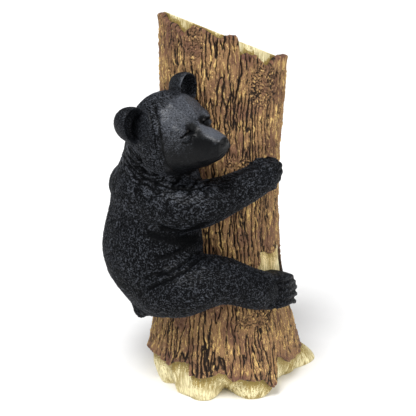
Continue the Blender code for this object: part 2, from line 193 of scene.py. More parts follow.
# Tail from the rump to its blunt tip: out, up and radius
TAIL = (
    (0.110, 0.150, 0.050), (0.120, 0.108, 0.046), (0.122, 0.072, 0.038), (0.116, 0.040, 0.029),
    (0.110, 0.018, 0.013),
)
# Lines on one side of the head: the eye's slit and the lower lid from the outer corner inward, the edge of
# the smooth face, the edge of the long fur behind it, and the mouth
EYE_SLIT = (
    (0.124, 0.095, 0.029), (0.134, 0.085, 0.033), (0.140, 0.068, 0.040), (0.143, 0.050, 0.044),
    (0.147, 0.036, 0.045),
)
LOWER_LID = (
    (0.125, 0.091, 0.014), (0.133, 0.081, 0.005), (0.144, 0.070, 0.005), (0.151, 0.059, 0.016),
    (0.153, 0.047, 0.029),
)
CHEEK = (
    (-0.006, 0.046, 0.143), (0.018, 0.078, 0.125), (0.048, 0.106, 0.091), (0.064, 0.127, 0.047),
    (0.070, 0.135, 0.012), (0.070, 0.138, -0.020), (0.066, 0.126, -0.074), (0.068, 0.098, -0.123),
    (0.075, 0.050, -0.150),
)
RUFF = (
    (-0.011, 0.081, 0.126), (0.018, 0.112, 0.097), (0.041, 0.134, 0.055), (0.045, 0.146, 0.012),
    (0.045, 0.143, -0.040), (0.045, 0.129, -0.090),
)
MOUTH = (
    (0.262, 0.000, -0.046), (0.252, 0.026, -0.052), (0.232, 0.042, -0.062), (0.204, 0.054, -0.076),
    (0.172, 0.064, -0.088), (0.150, 0.072, -0.088),
)
BROW = ((0.100, 0.112, 0.058), (0.126, 0.085, 0.068), (0.140, 0.055, 0.076), (0.146, 0.026, 0.074))
FOREHEAD = ((0.040, 0.034, 0.138), (0.075, 0.028, 0.120), (0.105, 0.022, 0.092), (0.135, 0.018, 0.062))
LIP = ((0.252, 0.030, -0.036), (0.228, 0.047, -0.048), (0.195, 0.060, -0.062), (0.165, 0.070, -0.070))
# Carved lines of the face: path, width and height in mm
FACE_STROKES = (
    (EYE_SLIT, 1.5, -3.4),
    (shifted(EYE_SLIT, 0.002, 0.0, 0.011), 2.4, 1.5),
    (LOWER_LID, 1.5, -1.8),
    (BROW, 5.0, 2.2),
    (FOREHEAD, 4.5, 1.3),
    (((0.150, 0.064, 0.010), (0.190, 0.058, -0.004), (0.225, 0.048, -0.012)), 8.0, -0.9),
    (LIP, 4.5, 1.6),
    (MOUTH, 1.5, -3.0),
    (shifted(MOUTH[:-1], -0.006, -0.004, -0.020), 4.0, -1.2),
    (CHEEK, 1.9, -1.2),
    (shifted(CHEEK, -0.018, 0.004), 4.5, 1.0),
    (RUFF, 1.4, -1.3),
    (shifted(RUFF, -0.02, 0.004), 4.0, 0.8),
    (((0.120, 0.098, 0.022), (0.108, 0.110, 0.010), (0.100, 0.118, -0.010)), 1.3, -0.8),
    (((0.122, 0.092, 0.006), (0.114, 0.104, -0.008), (0.108, 0.110, -0.026)), 1.3, -0.7),
    (((0.090, 0.115, 0.048), (0.078, 0.124, 0.030), (0.074, 0.130, 0.010)), 1.4, -0.6),
)
# Swellings and dents of the face: centre, radius and height in mm
FACE_BLOBS = (
    ((0.150, 0.040, 0.047), 9.0, -3.0), ((0.146, 0.044, 0.043), 2.8, -2.6),
    ((0.140, 0.074, 0.021), 4.5, 2.4), ((0.110, 0.095, -0.045), 16.0, 1.5),
    ((0.258, 0.016, -0.010), 2.2, -3.0), ((0.175, 0.000, 0.045), 7.0, 0.6),
    ((0.165, 0.000, -0.125), 9.0, 1.5),
)
# Folds of the cub's right side, mirrored on its left: turn, out and up
HIP_FOLD = (
    (47, 0.100, 0.375), (42.7, 0.150, 0.360), (39.1, 0.190, 0.338), (34.2, 0.225, 0.315),
    (26.9, 0.239, 0.299),
)
LOW_HIP_FOLD = (
    (50, 0.110, 0.360), (47.3, 0.163, 0.350), (42.9, 0.209, 0.327), (37.8, 0.237, 0.300),
    (31.2, 0.255, 0.271), (24.8, 0.257, 0.230),
)
NECK_FOLD = (
    (5, 0.223, 0.735), (14.9, 0.223, 0.692), (23.9, 0.211, 0.667), (34.5, 0.192, 0.651),
    (44.9, 0.174, 0.647), (53, 0.145, 0.654),
)
ARMPIT_FOLD = (
    (56, 0.170, 0.530), (51, 0.183, 0.505), (46, 0.177, 0.482), (40.9, 0.175, 0.466), (35.8, 0.205, 0.472),
    (29, 0.235, 0.495),
)
WAIST_FOLD = (
    (22, 0.250, 0.465), (30, 0.221, 0.448), (36, 0.187, 0.432), (42, 0.113, 0.420), (46, 0.030, 0.405),
)
# The folds with their width and height in mm
BODY_FOLDS = (
    (HIP_FOLD, 2.2, -3.2),
    (LOW_HIP_FOLD, 2.2, -3.4),
    (shifted(HIP_FOLD, 0.0, 0.0, -0.020), 3.6, 2.0),
    (((45, 0.100, 0.404), (38.1, 0.160, 0.386), (32.6, 0.206, 0.370), (24, 0.240, 0.352)), 3.5, -2.2),
    (ARMPIT_FOLD, 5.0, -4.5),
    (WAIST_FOLD, 6.0, -3.0),
    (NECK_FOLD, 1.8, -2.4),
    (shifted(NECK_FOLD, 3.0, 0.002, -0.030), 1.8, -2.0),
    (shifted(NECK_FOLD, 0.0, 0.0, 0.030), 1.8, -2.2),
    (shifted(NECK_FOLD, 0.0, 0.0, 0.060), 1.8, -1.8),
    (((2, 0.262, 0.200), (14, 0.270, 0.215), (26, 0.262, 0.205)), 6.0, -1.6),
    (((60, 0.185, 0.335), (70, 0.165, 0.300), (82, 0.140, 0.270)), 4.0, 1.4),
)


def length_setting(name, description, default):
    """Setting that is a length in metres."""
    return bpy.props.FloatProperty(name=name, description=description, default=default, unit="LENGTH")


def colour_setting(name, description, default):
    """Setting that is the colour of a paint."""
    return bpy.props.FloatVectorProperty(name=name, description=description, default=default, subtype="COLOR")


class StumpSettings(bpy.types.PropertyGroup):
    """Sizes and colours of the stump."""

    bark_thickness: length_setting("Bark thickness", "Depth of the bark's broken edges", 0.007)
    crack_depth: length_setting("Crack depth", "Depth of the cracks between ridges", 0.0034)
    ridge_width: length_setting("Ridge width", "Usual width of a bark ridge", 0.0066)
    ring_spacing: length_setting("Ring spacing", "Distance between growth rings", 0.0027)
    crack_colour: colour_setting("Cracks", "Paint in the cracks", (0.020, 0.011, 0.006))
    bark_colour: colour_setting("Bark", "Main paint of the bark", (0.355, 0.200, 0.090))
    dusk_colour: colour_setting("Dusky bark", "Darker, redder bark", (0.170, 0.075, 0.052))
    ochre_colour: colour_setting("Ochre", "Dry-brushed crests", (0.88, 0.60, 0.22))
    wood_colour: colour_setting("Wood", "Bare wood", (0.94, 0.85, 0.52))
    stain_colour: colour_setting("Stain", "Wash in the wood's grooves", (0.34, 0.245, 0.070))


class CubSettings(bpy.types.PropertyGroup):
    """Sizes and colours of the cub."""

    stroke_width: length_setting("Fur stroke width", "Width of a carved lock of fur", 0.0023)
    stroke_length: length_setting("Fur stroke length", "Length of a carved lock of fur", 0.0070)
    stroke_depth: length_setting("Fur depth", "Depth of the carving between locks", 0.0014)
    fur_colour: colour_setting("Fur", "Main paint of the fur", (0.0018, 0.0021, 0.0027))
    # Paint on the fur's crests: partly worn paint, partly painted sheen.
    worn_and_sheen_colour: colour_setting("Worn fur and painted sheen", "Paint on its crests", (0.098, 0.107, 0.128))
    eye_colour: colour_setting("Eye", "Paint of the eyes", (0.004, 0.003, 0.0025))


class StageSettings(bpy.types.PropertyGroup):
    """Floor, lights and camera."""

    floor_colour: colour_setting("Floor", "Pale floor", (0.93, 0.93, 0.93))
    key_power: bpy.props.FloatProperty(
        name="Key light", description="Strength of the soft main light", default=3.0
    )
    sky_strength: bpy.props.FloatProperty(
        name="Surrounding light", description="Strength of the white surroundings", default=0.34
    )


# Noise and shared curves


def noise(u, v, seed, wrap=256):
    """Smooth noise, about -1 to 1, that repeats in u after wrap cells.

    Slopes are drawn for the corners of unit cells, and their planes blended with 6t^5 - 15t^4 + 10t^3.
    """
    angle = np.random.default_rng(seed).random((256, 256)) * 2 * np.pi
    across, along = np.cos(angle), np.sin(angle)
    cell_u, cell_v = np.floor(u).astype(int), np.floor(v).astype(int)
    part_u, part_v = u - cell_u, v - cell_v
    blend_u, blend_v = eased(part_u), eased(part_v)
    total = 0.0
    for i in (0, 1):
        for j in (0, 1):
            row, column = (cell_u + i) % wrap % 256, (cell_v + j) % 256
            value = across[row, column] * (part_u - i) + along[row, column] * (part_v - j)
            total = total + value * (blend_u if i else 1 - blend_u) * (blend_v if j else 1 - blend_v)
    return 1.5 * total


def noise_in_space(points, seed):
    """The same noise on points in space, with one cell a unit."""
    slopes = np.random.default_rng(seed).normal(size=(4096, 3))
    slopes /= np.linalg.norm(slopes, axis=1)[:, None]
    cell = np.floor(points).astype(np.int64)
    part = points - cell
    blend = eased(part)
    total = np.zeros(len(points))
    for corner in np.ndindex(2, 2, 2):
        x, y, z = (cell + corner).T
        pick = (x * 73856093 ^ y * 19349663 ^ z * 83492791) & 4095
        weight = np.prod(np.where(corner, blend, 1 - blend), axis=1)
        total += weight * np.einsum("ij,ij->i", slopes[pick], part - corner)
    return 1.6 * total


def eased(t):
    """Smooth blend from 0 at t = 0 to 1 at t = 1: 6t^5 - 15t^4 + 10t^3."""
    return t**3 * (t * (t * 6 - 15) + 10)


def ramp(low, high, x):
    """0 below low and 1 above high, smoothly."""
    t = np.clip((x - low) / (high - low), 0, 1)
    return t * t * (3 - 2 * t)


def around(pairs, azimuth):
    """Value at an azimuth of a closed outline, given as (azimuth, value) pairs."""
    angles, values = zip(*pairs)
    return np.interp(azimuth, angles, values, period=360)


def degrees_from(azimuth, centre):
    """Degrees from the centre to an azimuth, from -180 to 180."""
    return (azimuth - centre + 180) % 360 - 180


def bump(azimuth, centre, half_width):
    """1 at the centre and 0 at half_width on either side, as half a cosine."""
    away = np.abs(degrees_from(azimuth, centre)) / half_width
    return np.where(away < 1, 0.5 + 0.5 * np.cos(np.pi * np.minimum(away, 1)), 0.0)


def polar(radius, azimuth, height):
    """Points at a radius and an azimuth round the stump's axis."""
    angle = np.radians(azimuth)
    return np.stack(np.broadcast_arrays(radius * np.cos(angle), radius * np.sin(angle), height), axis=-1)


def refined(stations, factor=4):
    """More stations between those given, on smooth curves through them."""
    table = np.array(stations, float)
    place = np.linspace(0, len(table) - 1, factor * (len(table) - 1) + 1)
    i = np.minimum(place.astype(int), len(table) - 2)
    s = (place - i)[:, None]
    slope = np.gradient(table, axis=0)
    ends = table[i] * (2 * s**3 - 3 * s**2 + 1) + table[i + 1] * (3 * s**2 - 2 * s**3)
    return ends + slope[i] * (s**3 - 2 * s**2 + s) + slope[i + 1] * (s**3 - s**2)


# Meshes


def grid_quads(rows, columns):
    """Corners of the faces of a grid whose columns close on themselves."""
    i = np.arange(rows - 1)[:, None]
    j = np.arange(columns)[None, :]
    above, beside = i + 1, (j + 1) % columns
    corners = (i * columns + j, i * columns + beside, above * columns + beside, above * columns + j)
    return np.stack(np.broadcast_arrays(*corners), axis=-1).reshape(-1, 4)


def new_object(name, points, corners, sizes):
    """Object with these points, smoothly shaded, and faces that take the corners in turn, by their sizes."""
    mesh = bpy.data.meshes.new(name)
    mesh.vertices.add(len(points))
    mesh.vertices.foreach_set("co", np.asarray(points, np.float32).ravel())
    mesh.loops.add(len(corners))
    mesh.loops.foreach_set("vertex_index", corners.astype(np.int32))
    mesh.polygons.add(len(sizes))
    mesh.polygons.foreach_set("loop_start", (np.cumsum(sizes) - sizes).astype(np.int32))
    mesh.update(calc_edges=True)
    mesh.shade_smooth()
    obj = bpy.data.objects.new(name, mesh)
    bpy.context.scene.collection.objects.link(obj)
    return obj


def grid_object(name, points, quads, caps):
    """Object with these points, four-sided faces and many-sided caps."""
    sizes = np.concatenate([np.full(len(quads), 4), [len(cap) for cap in caps]])
    return new_object(name, points, np.concatenate([quads.ravel(), *caps]), sizes)


def loft(name, rings):
    """Closed object through an array of rings (rows, columns, 3), with a flat cap at each end."""
    rows, columns = rings.shape[:2]
    caps = (np.arange(columns)[::-1], np.arange(columns) + (rows - 1) * columns)
    obj = grid_object(name, rings.reshape(-1, 3), grid_quads(rows, columns), caps)
    for cap in (-2, -1):
        obj.data.polygons[cap].use_smooth = False
    return obj


def applied(obj):
    """The object with its modifiers made part of its mesh."""
    bpy.context.view_layer.update()
    graph = bpy.context.evaluated_depsgraph_get()
    mesh = bpy.data.meshes.new_from_object(obj.evaluated_get(graph))
    obj.modifiers.clear()
    obj.data = mesh
    return obj


def joined(name, objects):
    """One object that holds the shapes of several, which are removed."""
    points, corners, sizes, count = [], [], [], 0
    for obj in objects:
        mesh = obj.data
        co = np.empty(len(mesh.vertices) * 3, np.float32)
        mesh.vertices.foreach_get("co", co)
        corner = np.empty(len(mesh.loops), np.int32)
        mesh.loops.foreach_get("vertex_index", corner)
        start = np.empty(len(mesh.polygons), np.int32)
        mesh.polygons.foreach_get("loop_start", start)
        points.append(co.reshape(-1, 3))
        corners.append(corner + count)
        sizes.append(np.diff(np.append(start, len(corner))))
        count += len(mesh.vertices)
        bpy.data.objects.remove(obj)
    return new_object(name, np.concatenate(points), np.concatenate(corners), np.concatenate(sizes))


def remeshed(obj, voxel, rounds):
    """The object as one skin on a grid of that spacing, then relaxed a number of rounds."""
    melt = obj.modifiers.new("Melt", "REMESH")
    melt.mode = "VOXEL"
    melt.voxel_size = voxel
    melt.use_smooth_shade = True
    if rounds:
        soften = obj.modifiers.new("Soften", "SMOOTH")
        soften.factor = 0.5
        soften.iterations = rounds
    return applied(obj)


def thinned(obj, triangles):
    """The object with fewer triangles, kept where the surface bends."""
    mesh = obj.data
    corners = len(mesh.loops) - 2 * len(mesh.polygons)
    if corners > triangles:
        fewer = obj.modifiers.new("Fewer faces", "DECIMATE")
        fewer.ratio = triangles / corners
        applied(obj)
    return obj


def surface(obj):
    """Points and normals of the object's mesh, as arrays."""
    mesh = obj.data
    points = np.empty(len(mesh.vertices) * 3, np.float32)
    mesh.vertices.foreach_get("co", points)
    normals = np.empty(len(mesh.vertices) * 3, np.float32)
    mesh.vertex_normals.foreach_get("vector", normals)
    return points.reshape(-1, 3).astype(float), normals.reshape(-1, 3).astype(float)


def move_points(obj, points):
    """Puts the object's mesh points at new places."""
    obj.data.vertices.foreach_set("co", np.asarray(points, np.float32).ravel())
    obj.data.update()


def paint(obj, name, values):
    """Stores a value for each point, which the material reads as an attribute."""
    attribute = obj.data.attributes.new(name, "FLOAT", "POINT")
    attribute.data.foreach_set("value", np.asarray(values, np.float32).ravel())


def mounted(obj, material):
    """Finishes a piece: its paint, what it rides on, and what it stands for."""
    obj.data.materials.clear()
    obj.data.materials.append(material)
    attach(obj, BODY)
    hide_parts(CAD_NODE)
    return obj


# Stump


def stump_radius(height):
    """Mean outside radius of the bark at a height, before roots and ridges."""
    shares, radii = zip(*STUMP_PROFILE)
    return STUMP_RADIUS * np.interp(height / STATUE_HEIGHT, shares, radii)


def sawn_top(x, y, thickness):
    """Height of the sawn face, a plane whose rim on the high side is at STATUE_HEIGHT."""
    fall_x, fall_y = np.tan(np.radians((TOP_SLOPE_X, TOP_SLOPE_Y)))
    rim = STUMP_RADIUS * STUMP_PROFILE[-1][1] - thickness
    return STATUE_HEIGHT - rim * np.hypot(fall_x, fall_y) - x * fall_x - y * fall_y


def bark_radius(azimuth, height):
    """Outside of the bark with its roots: the profile plus half-cosine roots that fade as they climb."""
    flare = np.exp(-height / (0.14 * STATUE_HEIGHT))
    reach = sum(share * bump(azimuth, centre, half_width) for centre, half_width, share in BARK_ROOTS)
    return stump_radius(height) + FLOOR_RADIUS * reach * flare


def floor_radius(azimuth):
    """Outline of the bare wood on the floor, with lobes at the roots."""
    lobes = sum(share * bump(azimuth, centre, half_width) for centre, half_width, share in FLOOR_LOBES)
    return FLOOR_RADIUS * (1 + lobes)


def upright(azimuth, height, width, length, seed):
    """Noise in cells of a width round the stump and a length up it, both in mm."""
    cells = max(round(2 * np.pi * STUMP_RADIUS / MM / width), 2)
    return noise(azimuth / 360 * cells, height / MM / length, seed, wrap=cells)


def bark_edges(azimuth, thickness):
    """Heights of the bark's broken lower and upper edges."""
    rim = polar(STUMP_RADIUS * STUMP_PROFILE[-1][1] - thickness, azimuth, 0.0)
    top = sawn_top(rim[..., 0], rim[..., 1], thickness) - around(BARK_TOP, azimuth) * STUMP_RADIUS
    bottom = BARE_WOOD_HEIGHT * around(BARK_BOTTOM, azimuth)
    ragged = upright(azimuth, 0 * azimuth, 7, 50, 31) + 0.5 * upright(azimuth, 0 * azimuth, 3.4, 50, 32)
    return bottom + 1.6 * MM * ragged, np.minimum(top - 1.3 * MM * ragged, STATUE_HEIGHT - 0.6 * MM)


def crests(cells, width):
    """Thin ridges: 1 where the noise changes sign and 0 away from there."""
    return np.exp(-((cells / width) ** 2))


def plates(cells, width):
    """Rounded ridges between narrow cracks: 0 where the noise changes sign and 1 away from there."""
    return 1 - np.exp(-np.abs(cells) / width)


def cracked(cells, azimuth, width):
    """Rounded ridges between even cracks: 1 - exp(-d / width) at d mm from where the noise changes sign.

    The distance d is the noise over its own slope round the stump.
    """
    spacing = abs(np.radians(azimuth[0, 1] - azimuth[0, 0])) * STUMP_RADIUS / MM
    slope = np.abs(np.gradient(cells, axis=1)) / spacing
    return 1 - np.exp(-np.abs(cells) / (slope + 0.02) / width)


def bark_relief(azimuth, height, settings):
    """Height of the bark over its mean surface, in mm, and how much of a crest each point is.

    Upright noise, bent by slower noise, gives ridges with cracks of even width where it changes sign, on
    three levels from wide plates to splinters. Thin ribs stand where other noise changes sign, cross cracks
    break the ridges, slow noise swells them, lumps and grains roughen all of it, and knots are lumps alone.
    """
    bent = azimuth + 2.6 * upright(azimuth, height, 44, 80, 1) + 1.3 * upright(azimuth, height, 12, 26, 2)
    bent = bent + 0.65 * upright(azimuth, height, 4.2, 7, 3)
    width = settings.ridge_width / MM
    plate = cracked(upright(bent, height, 2.6 * width, 170, 13), azimuth, 0.8)
    first = cracked(upright(bent, height, width, 74, 4), azimuth, 0.8)
    second = plates(upright(bent, height, 0.5 * width, 34, 5), 0.20)
    fine = upright(bent, height, 0.25 * width, 7, 6)
    swell = upright(azimuth, height, 27, 110, 7) + 0.7 * upright(bent, height, 11, 34, 8)
    rib = crests(upright(bent, height, 0.80 * width, 52, 14), 0.085)
    rib = rib * ramp(-0.20, 0.20, upright(bent, height, 1.1 * width, 20, 15))
    thread = crests(upright(bent, height, 0.45 * width, 26, 16), 0.13)
    across = plates(upright(bent + 3 * fine, height, 1.2 * width, 13, 9), 0.10)
    broken = ramp(0.05, 0.35, upright(azimuth, height, 22, 34, 10))
    lumps = plates(upright(azimuth + fine, height, 5.2, 4.6, 11), 0.22)
    lumps = lumps + 0.6 * plates(upright(azimuth, height + fine * MM, 2.7, 2.3, 12), 0.25)
    depth = settings.crack_depth / MM
    ridges = depth * (first - 0.8) + 0.5 * depth * (plate - 0.9) + 1.4 * (second - 0.7) + 0.5 * fine
    ridges = ridges + 1.4 * broken * (across - 0.9) + 1.5 * rib + 0.5 * thread + 0.5 * (lumps - 1.2)
    crumbled = 0.0
    for centre, level, half_width, half_height in KNOTS:
        away = np.radians(degrees_from(azimuth, centre)) * STUMP_RADIUS / MM / half_width
        apart = np.hypot(away, (height / MM - level) / half_height) + 0.35 * fine
        crumbled = np.maximum(crumbled, 1 - ramp(0.75, 1.15, apart))
    rough = 2.3 * (lumps - 1.05) + 0.5 * fine
    relief = 0.75 * swell + ridges * (1 - crumbled) + rough * crumbled
    crest = np.maximum(rib, 0.55 * thread * ramp(0.6, 0.95, first)) * (1 - crumbled)
    return np.clip(relief, -5.0, 3.2), crest + crumbled * ramp(1.2, 1.5, lumps)


def bare_patch(azimuth, height):
    """1 where the bark has come off beside the foot, 0 elsewhere, with a ragged edge between."""
    away = degrees_from(azimuth, PATCH_AZIMUTH)
    left = np.interp(height, *zip(*PATCH_LEFT))
    right = np.interp(height, *zip(*PATCH_RIGHT))
    sides = np.radians(np.minimum(away - left, right - away)) * STUMP_RADIUS / MM
    ends = np.minimum(np.interp(away, *zip(*PATCH_CREST)) - height, height - PATCH_BASE) / MM
    inside = np.minimum(sides, ends) + 0.6 * upright(azimuth, height, 5, 5, 21)
    return ramp(-0.8, 0.8, inside)


def wood_relief(azimuth, height):
    """Height of the bare wood over its mean surface, in mm: fine upright grooves and slow swelling."""
    bent = azimuth + 1.5 * upright(azimuth, height, 20, 40, 41)
    grooves = plates(upright(bent, height, 3.4, 46, 42), 0.2) + 0.5 * upright(bent, height, 1.7, 18, 43)
    return 1.35 * (grooves - 0.6) + 0.9 * upright(azimuth, height, 22, 30, 44)


def wood_rows(azimuth, bottom, top, thickness):
    """Radius and height of the bare wood's side, row by row upward, and how much of the relief a row takes.

    It runs out along the underside, up the lobes of the foot in a slight bulge, under the bark with more rows
    behind the bare patch, and over the rounded edge of the sawn face.
    """
    rim = polar(STUMP_RADIUS * STUMP_PROFILE[-1][1] - thickness, azimuth, 0.0)
    cut = sawn_top(rim[:, 0], rim[:, 1], thickness)
    foot = floor_radius(azimuth)
    rows = [(share * foot, 0 * foot, 0.0) for share in (0.01, 0.3, 0.6, 0.85, 0.95)]
    under = bark_radius(azimuth, bottom) - thickness
    for t in np.linspace(0, 1, 30):
        lean = t**1.15
        round_off = 1.6 * MM * (1 - min(1, t / 0.08)) ** 2
        bulge = 3.5 * MM * math.sin(math.pi * min(1, 1.1 * t))
        radius = foot * (1 - lean) + under * lean + bulge - round_off
        rows.append((radius, t * bottom, ramp(0, 0.1, t)))
    low, high = np.full_like(bottom, PATCH_BASE - 12 * MM), np.full_like(bottom, PATCH_TOP + 10 * MM)
    hidden = np.minimum(top, cut) - 12 * MM
    for start, end, count in (
        (bottom, low, 9), (low, high, 48), (high, hidden, 9), (hidden, cut - 1.2 * MM, 36),
    ):
        for t in np.linspace(0, 1, count + 1)[1:]:
            level = start + (end - start) * t
            rows.append((bark_radius(azimuth, level) - thickness, level, 1.0))
    edge = rows[-1][0]
    rows.append((edge - 0.35 * MM, cut - 1.0 * MM, 0.9))
    rows.append((edge - 1.1 * MM, cut - 0.7 * MM, 0.7))
    return [np.stack([column + 0 * azimuth for column in columns]) for columns in zip(*rows)]


def sawn_face(rim, settings):
    """Points of the sawn face from its rim (x and y) inward, and the tone of its paint.

    Growth rings are a sine of the distance from a heart off the middle, bent by slow noise. One drying crack
    runs out from the heart.
    """
    shares = np.linspace(0.975, 0.012, 46)[:, None, None]
    flat = rim * shares
    x, y = flat[..., 0], flat[..., 1]
    from_heart = np.hypot(x + 9 * MM, y - 4 * MM)
    warp = 0.9 * noise(x / 0.02, y / 0.02, 51)
    rings = np.sin(2 * np.pi * from_heart / settings.ring_spacing + 3 * warp)
    turn = np.degrees(np.arctan2(y, x))
    crack = np.exp(-((degrees_from(turn + 6 * warp, 70) / 1.6) ** 2)) * ramp(0.01, 0.03, from_heart)
    level = sawn_top(x, y, settings.bark_thickness) + MM * (0.22 * rings + 0.5 * warp - 1.6 * crack - 1.2)
    return np.stack([x, y, level], axis=-1), 0.55 + 0.25 * rings - 0.8 * crack


def wood_core(settings):
    """Bare wood from the underside over the lobes of the foot, up under the bark, and over the sawn face."""
    azimuth = np.arange(WOOD_COLUMNS) * 360 / WOOD_COLUMNS
    bottom, top = bark_edges(azimuth, settings.bark_thickness)
    radius, height, weight = wood_rows(azimuth, bottom, top, settings.bark_thickness)
    relief = wood_relief(azimuth[None, :], height)
    radius = radius + 3.4 * MM * bare_patch(azimuth[None, :], height)
    side = polar(radius + weight * relief * MM, azimuth[None, :], height)
    face, tone = sawn_face(side[-1, :, :2], settings)
    obj = loft("bare_wood", np.concatenate([side, face]))
    paint(obj, "relief", np.clip(np.concatenate([0.5 + 0.5 * relief * weight, tone]), 0, 1))
    away = degrees_from(azimuth, PATCH_AZIMUTH)
    crest = np.interp(away, *zip(*PATCH_CREST)) - 5 * MM
    from_bark = np.minimum(np.abs(height - bottom) / (20 * MM), np.abs(height - top) / (6 * MM))
    on_patch = np.exp(-(((height - crest) / (23 * MM)) ** 2) - ((away - 8) / 34) ** 2)
    stained = np.maximum(np.exp(-(from_bark**2)), 0.6 * on_patch)
    for name, values in (("stained", stained), ("golden", on_patch)):
        paint(obj, name, np.concatenate([values, 0 * tone]))
    return obj


def bark_shell(name, azimuth, settings, triangles):
    """Bark over a span of azimuths as a closed shell, lofted round the stump from its upright section.

    The section runs round the lower lip, up the outside with its relief, round the upper lip and down inside.
    """
    thickness = settings.bark_thickness
    bottom, top = bark_edges(azimuth, thickness)
    lip = 0.5 * thickness
    rows = []
    for angle in np.linspace(np.pi, 2 * np.pi, 10)[:-1]:
        rows.append((bottom + lip + lip * np.sin(angle), lip + lip * np.cos(angle)))
    for t in np.linspace(0, 1, BARK_ROWS):
        rows.append((bottom + lip + (top - bottom - 2 * lip) * t, thickness))
    for angle in np.linspace(0, np.pi, 10)[1:]:
        rows.append((top - lip + lip * np.sin(angle), lip + lip * np.cos(angle)))
    for t in np.linspace(1, 0, 12):
        rows.append((bottom + 2 * lip + (top - bottom - 4 * lip) * t, -6 * MM))
    height = np.stack([row[0] for row in rows])
    out = np.stack([row[1] + 0 * azimuth for row in rows])
    relief, crest = bark_relief(azimuth[None, :], height, settings)
    to_edge = np.minimum(height - bottom, top - height) / MM
    curl = 1.6 * np.exp(-np.maximum(to_edge - 2, 0) / 6)
    bare = bare_patch(azimuth[None, :], height)
    share = np.clip(out / thickness, 0, 1)
    radius = bark_radius(azimuth[None, :], height) - thickness + out
    radius = radius + share * (MM * (relief + curl) - bare * (thickness + 5 * MM))
    points = polar(radius, azimuth[None, :], height)
    obj = loft(name, points.transpose(1, 0, 2))
    paint(obj, "relief", np.clip(0.60 + 0.30 * relief, 0, 1).T)
    edge = np.exp(-np.maximum(to_edge, 0) / 7) + ramp(0.02, 0.5, bare)
    paint(obj, "dusk", np.clip(edge, 0, 1).T)
    paint(obj, "crest", crest.T)
    return thinned(obj, triangles)


# Cub


def cub_point(turn, out, up):
    """Point at a turn from the cub's middle plane, and at shares of its height off the bark and up."""
    height = CUB_SEAT + np.asarray(up) * CUB_HEIGHT
    radius = stump_radius(height) + np.asarray(out) * CUB_HEIGHT
    return polar(radius, CUB_AZIMUTH + np.asarray(turn), height)


def ellipse_rings(centres, first, second, columns=72, power=1.0):
    """Rings round ellipses, each given by its centre and two half axes; a power under 1 squares them."""
    angle = np.arange(columns)[None, :, None] * 2 * np.pi / columns
    across = np.sign(np.sin(angle)) * np.abs(np.sin(angle)) ** power
    return centres[:, None] + np.cos(angle) * first[:, None] + across * second[:, None]


def ellipsoid(name, centre, radii, axes=np.eye(3)):
    """Round solid whose radii along the columns of axes are shares of the cub's height."""
    tilt = np.linspace(-1, 1, 30)[:, None] * np.pi / 2 * 0.995
    turn = np.arange(48)[None, :] * 2 * np.pi / 48
    flat = np.cos(tilt)
    ball = np.stack(np.broadcast_arrays(flat * np.cos(turn), flat * np.sin(turn), np.sin(tilt)), axis=-1)
    return loft(name, np.asarray(centre) + (ball * np.array(radii) * CUB_HEIGHT) @ np.asarray(axes).T)


def unit(vectors):
    """The vectors at length 1."""
    return vectors / np.maximum(np.linalg.norm(vectors, axis=-1, keepdims=True), 1e-9)


def torso():
    """Stack of ellipses from the rump to the neck, level and turned with the cub."""
    turn, out, up, depth, width = refined(TORSO).T
    centres = cub_point(turn, out, up)
    outward = polar(CUB_HEIGHT * depth, CUB_AZIMUTH + turn, 0.0)
    sideways = polar(CUB_HEIGHT * width, CUB_AZIMUTH + turn + 90, 0.0)
    return loft("torso", ellipse_rings(centres, outward, sideways))


def tail():
    """Short wedge of level ellipses under the rump."""
    out, up, radius = refined(TAIL).T
    outward = polar(CUB_HEIGHT * radius, CUB_AZIMUTH + 2 + 0 * out, 0.0)
    sideways = polar(CUB_HEIGHT * radius, CUB_AZIMUTH + 92 + 0 * out, 0.0)
    return loft("tail", ellipse_rings(cub_point(2 + 0 * out, out, up), outward, sideways)[::-1])


def limb(name, side, stations):
    """Tapered limb that hugs the bark; its sections are ellipses sunk ROOT_DEPTH under the bark."""
    turn, crest, up, half_width = refined(stations).T
    middles = cub_point(side * turn, 0.5 * (crest - ROOT_DEPTH), up)
    run = np.gradient(middles, axis=0)
    outward = polar(1.0, CUB_AZIMUTH + side * turn, 0.0)
    across = unit(np.cross(run, outward)) * side
    first = unit(np.cross(across, run)) * side * (0.5 * (crest + ROOT_DEPTH) * CUB_HEIGHT)[:, None]
    return loft(name, ellipse_rings(middles, first, across * (half_width * CUB_HEIGHT)[:, None]))


def along_stump(turn, tilt):
    """Axes at a turn round the stump, as columns: outward, along a limb that climbs by tilt, across it."""
    outward = polar(1.0, CUB_AZIMUTH + turn, 0.0)
    level = polar(1.0, CUB_AZIMUTH + turn + math.copysign(90, turn), 0.0)
    up = np.array((0.0, 0.0, 1.0))
    slope = math.radians(tilt)
    run = level * math.cos(slope) + up * math.sin(slope)
    cross = up * math.cos(slope) - level * math.sin(slope)
    return np.stack([outward, run, cross], axis=1)


def right_handed(axes):
    """The same axes with the last turned round if they would mirror a shape."""
    return axes if np.linalg.det(axes) > 0 else axes * np.array((1, 1, -1))


def toe(side, end, up, crest, half_width, stretch, fall):
    """Toe as a short limb along the bark: a knuckle, a dip, a rounded end and a small claw.

    It climbs away from its tip by fall * (1 - exp(-a / 12)) at a degrees before its end.
    """
    before, rise, swell = refined(TOE, 3).T
    turn = end - stretch * before
    top = crest * rise
    level = up + fall * (1 - np.exp(-before / 12))
    middles = cub_point(side * turn, 0.5 * (top - ROOT_DEPTH), level)
    outward = polar(1.0, CUB_AZIMUTH + side * turn, 0.0) * (0.5 * (top + ROOT_DEPTH) * CUB_HEIGHT)[:, None]
    across = np.array((0.0, 0.0, 1.0)) * (-side * half_width * swell * CUB_HEIGHT)[:, None]
    return loft("toe", ellipse_rings(middles, outward, across, 48, 0.5))


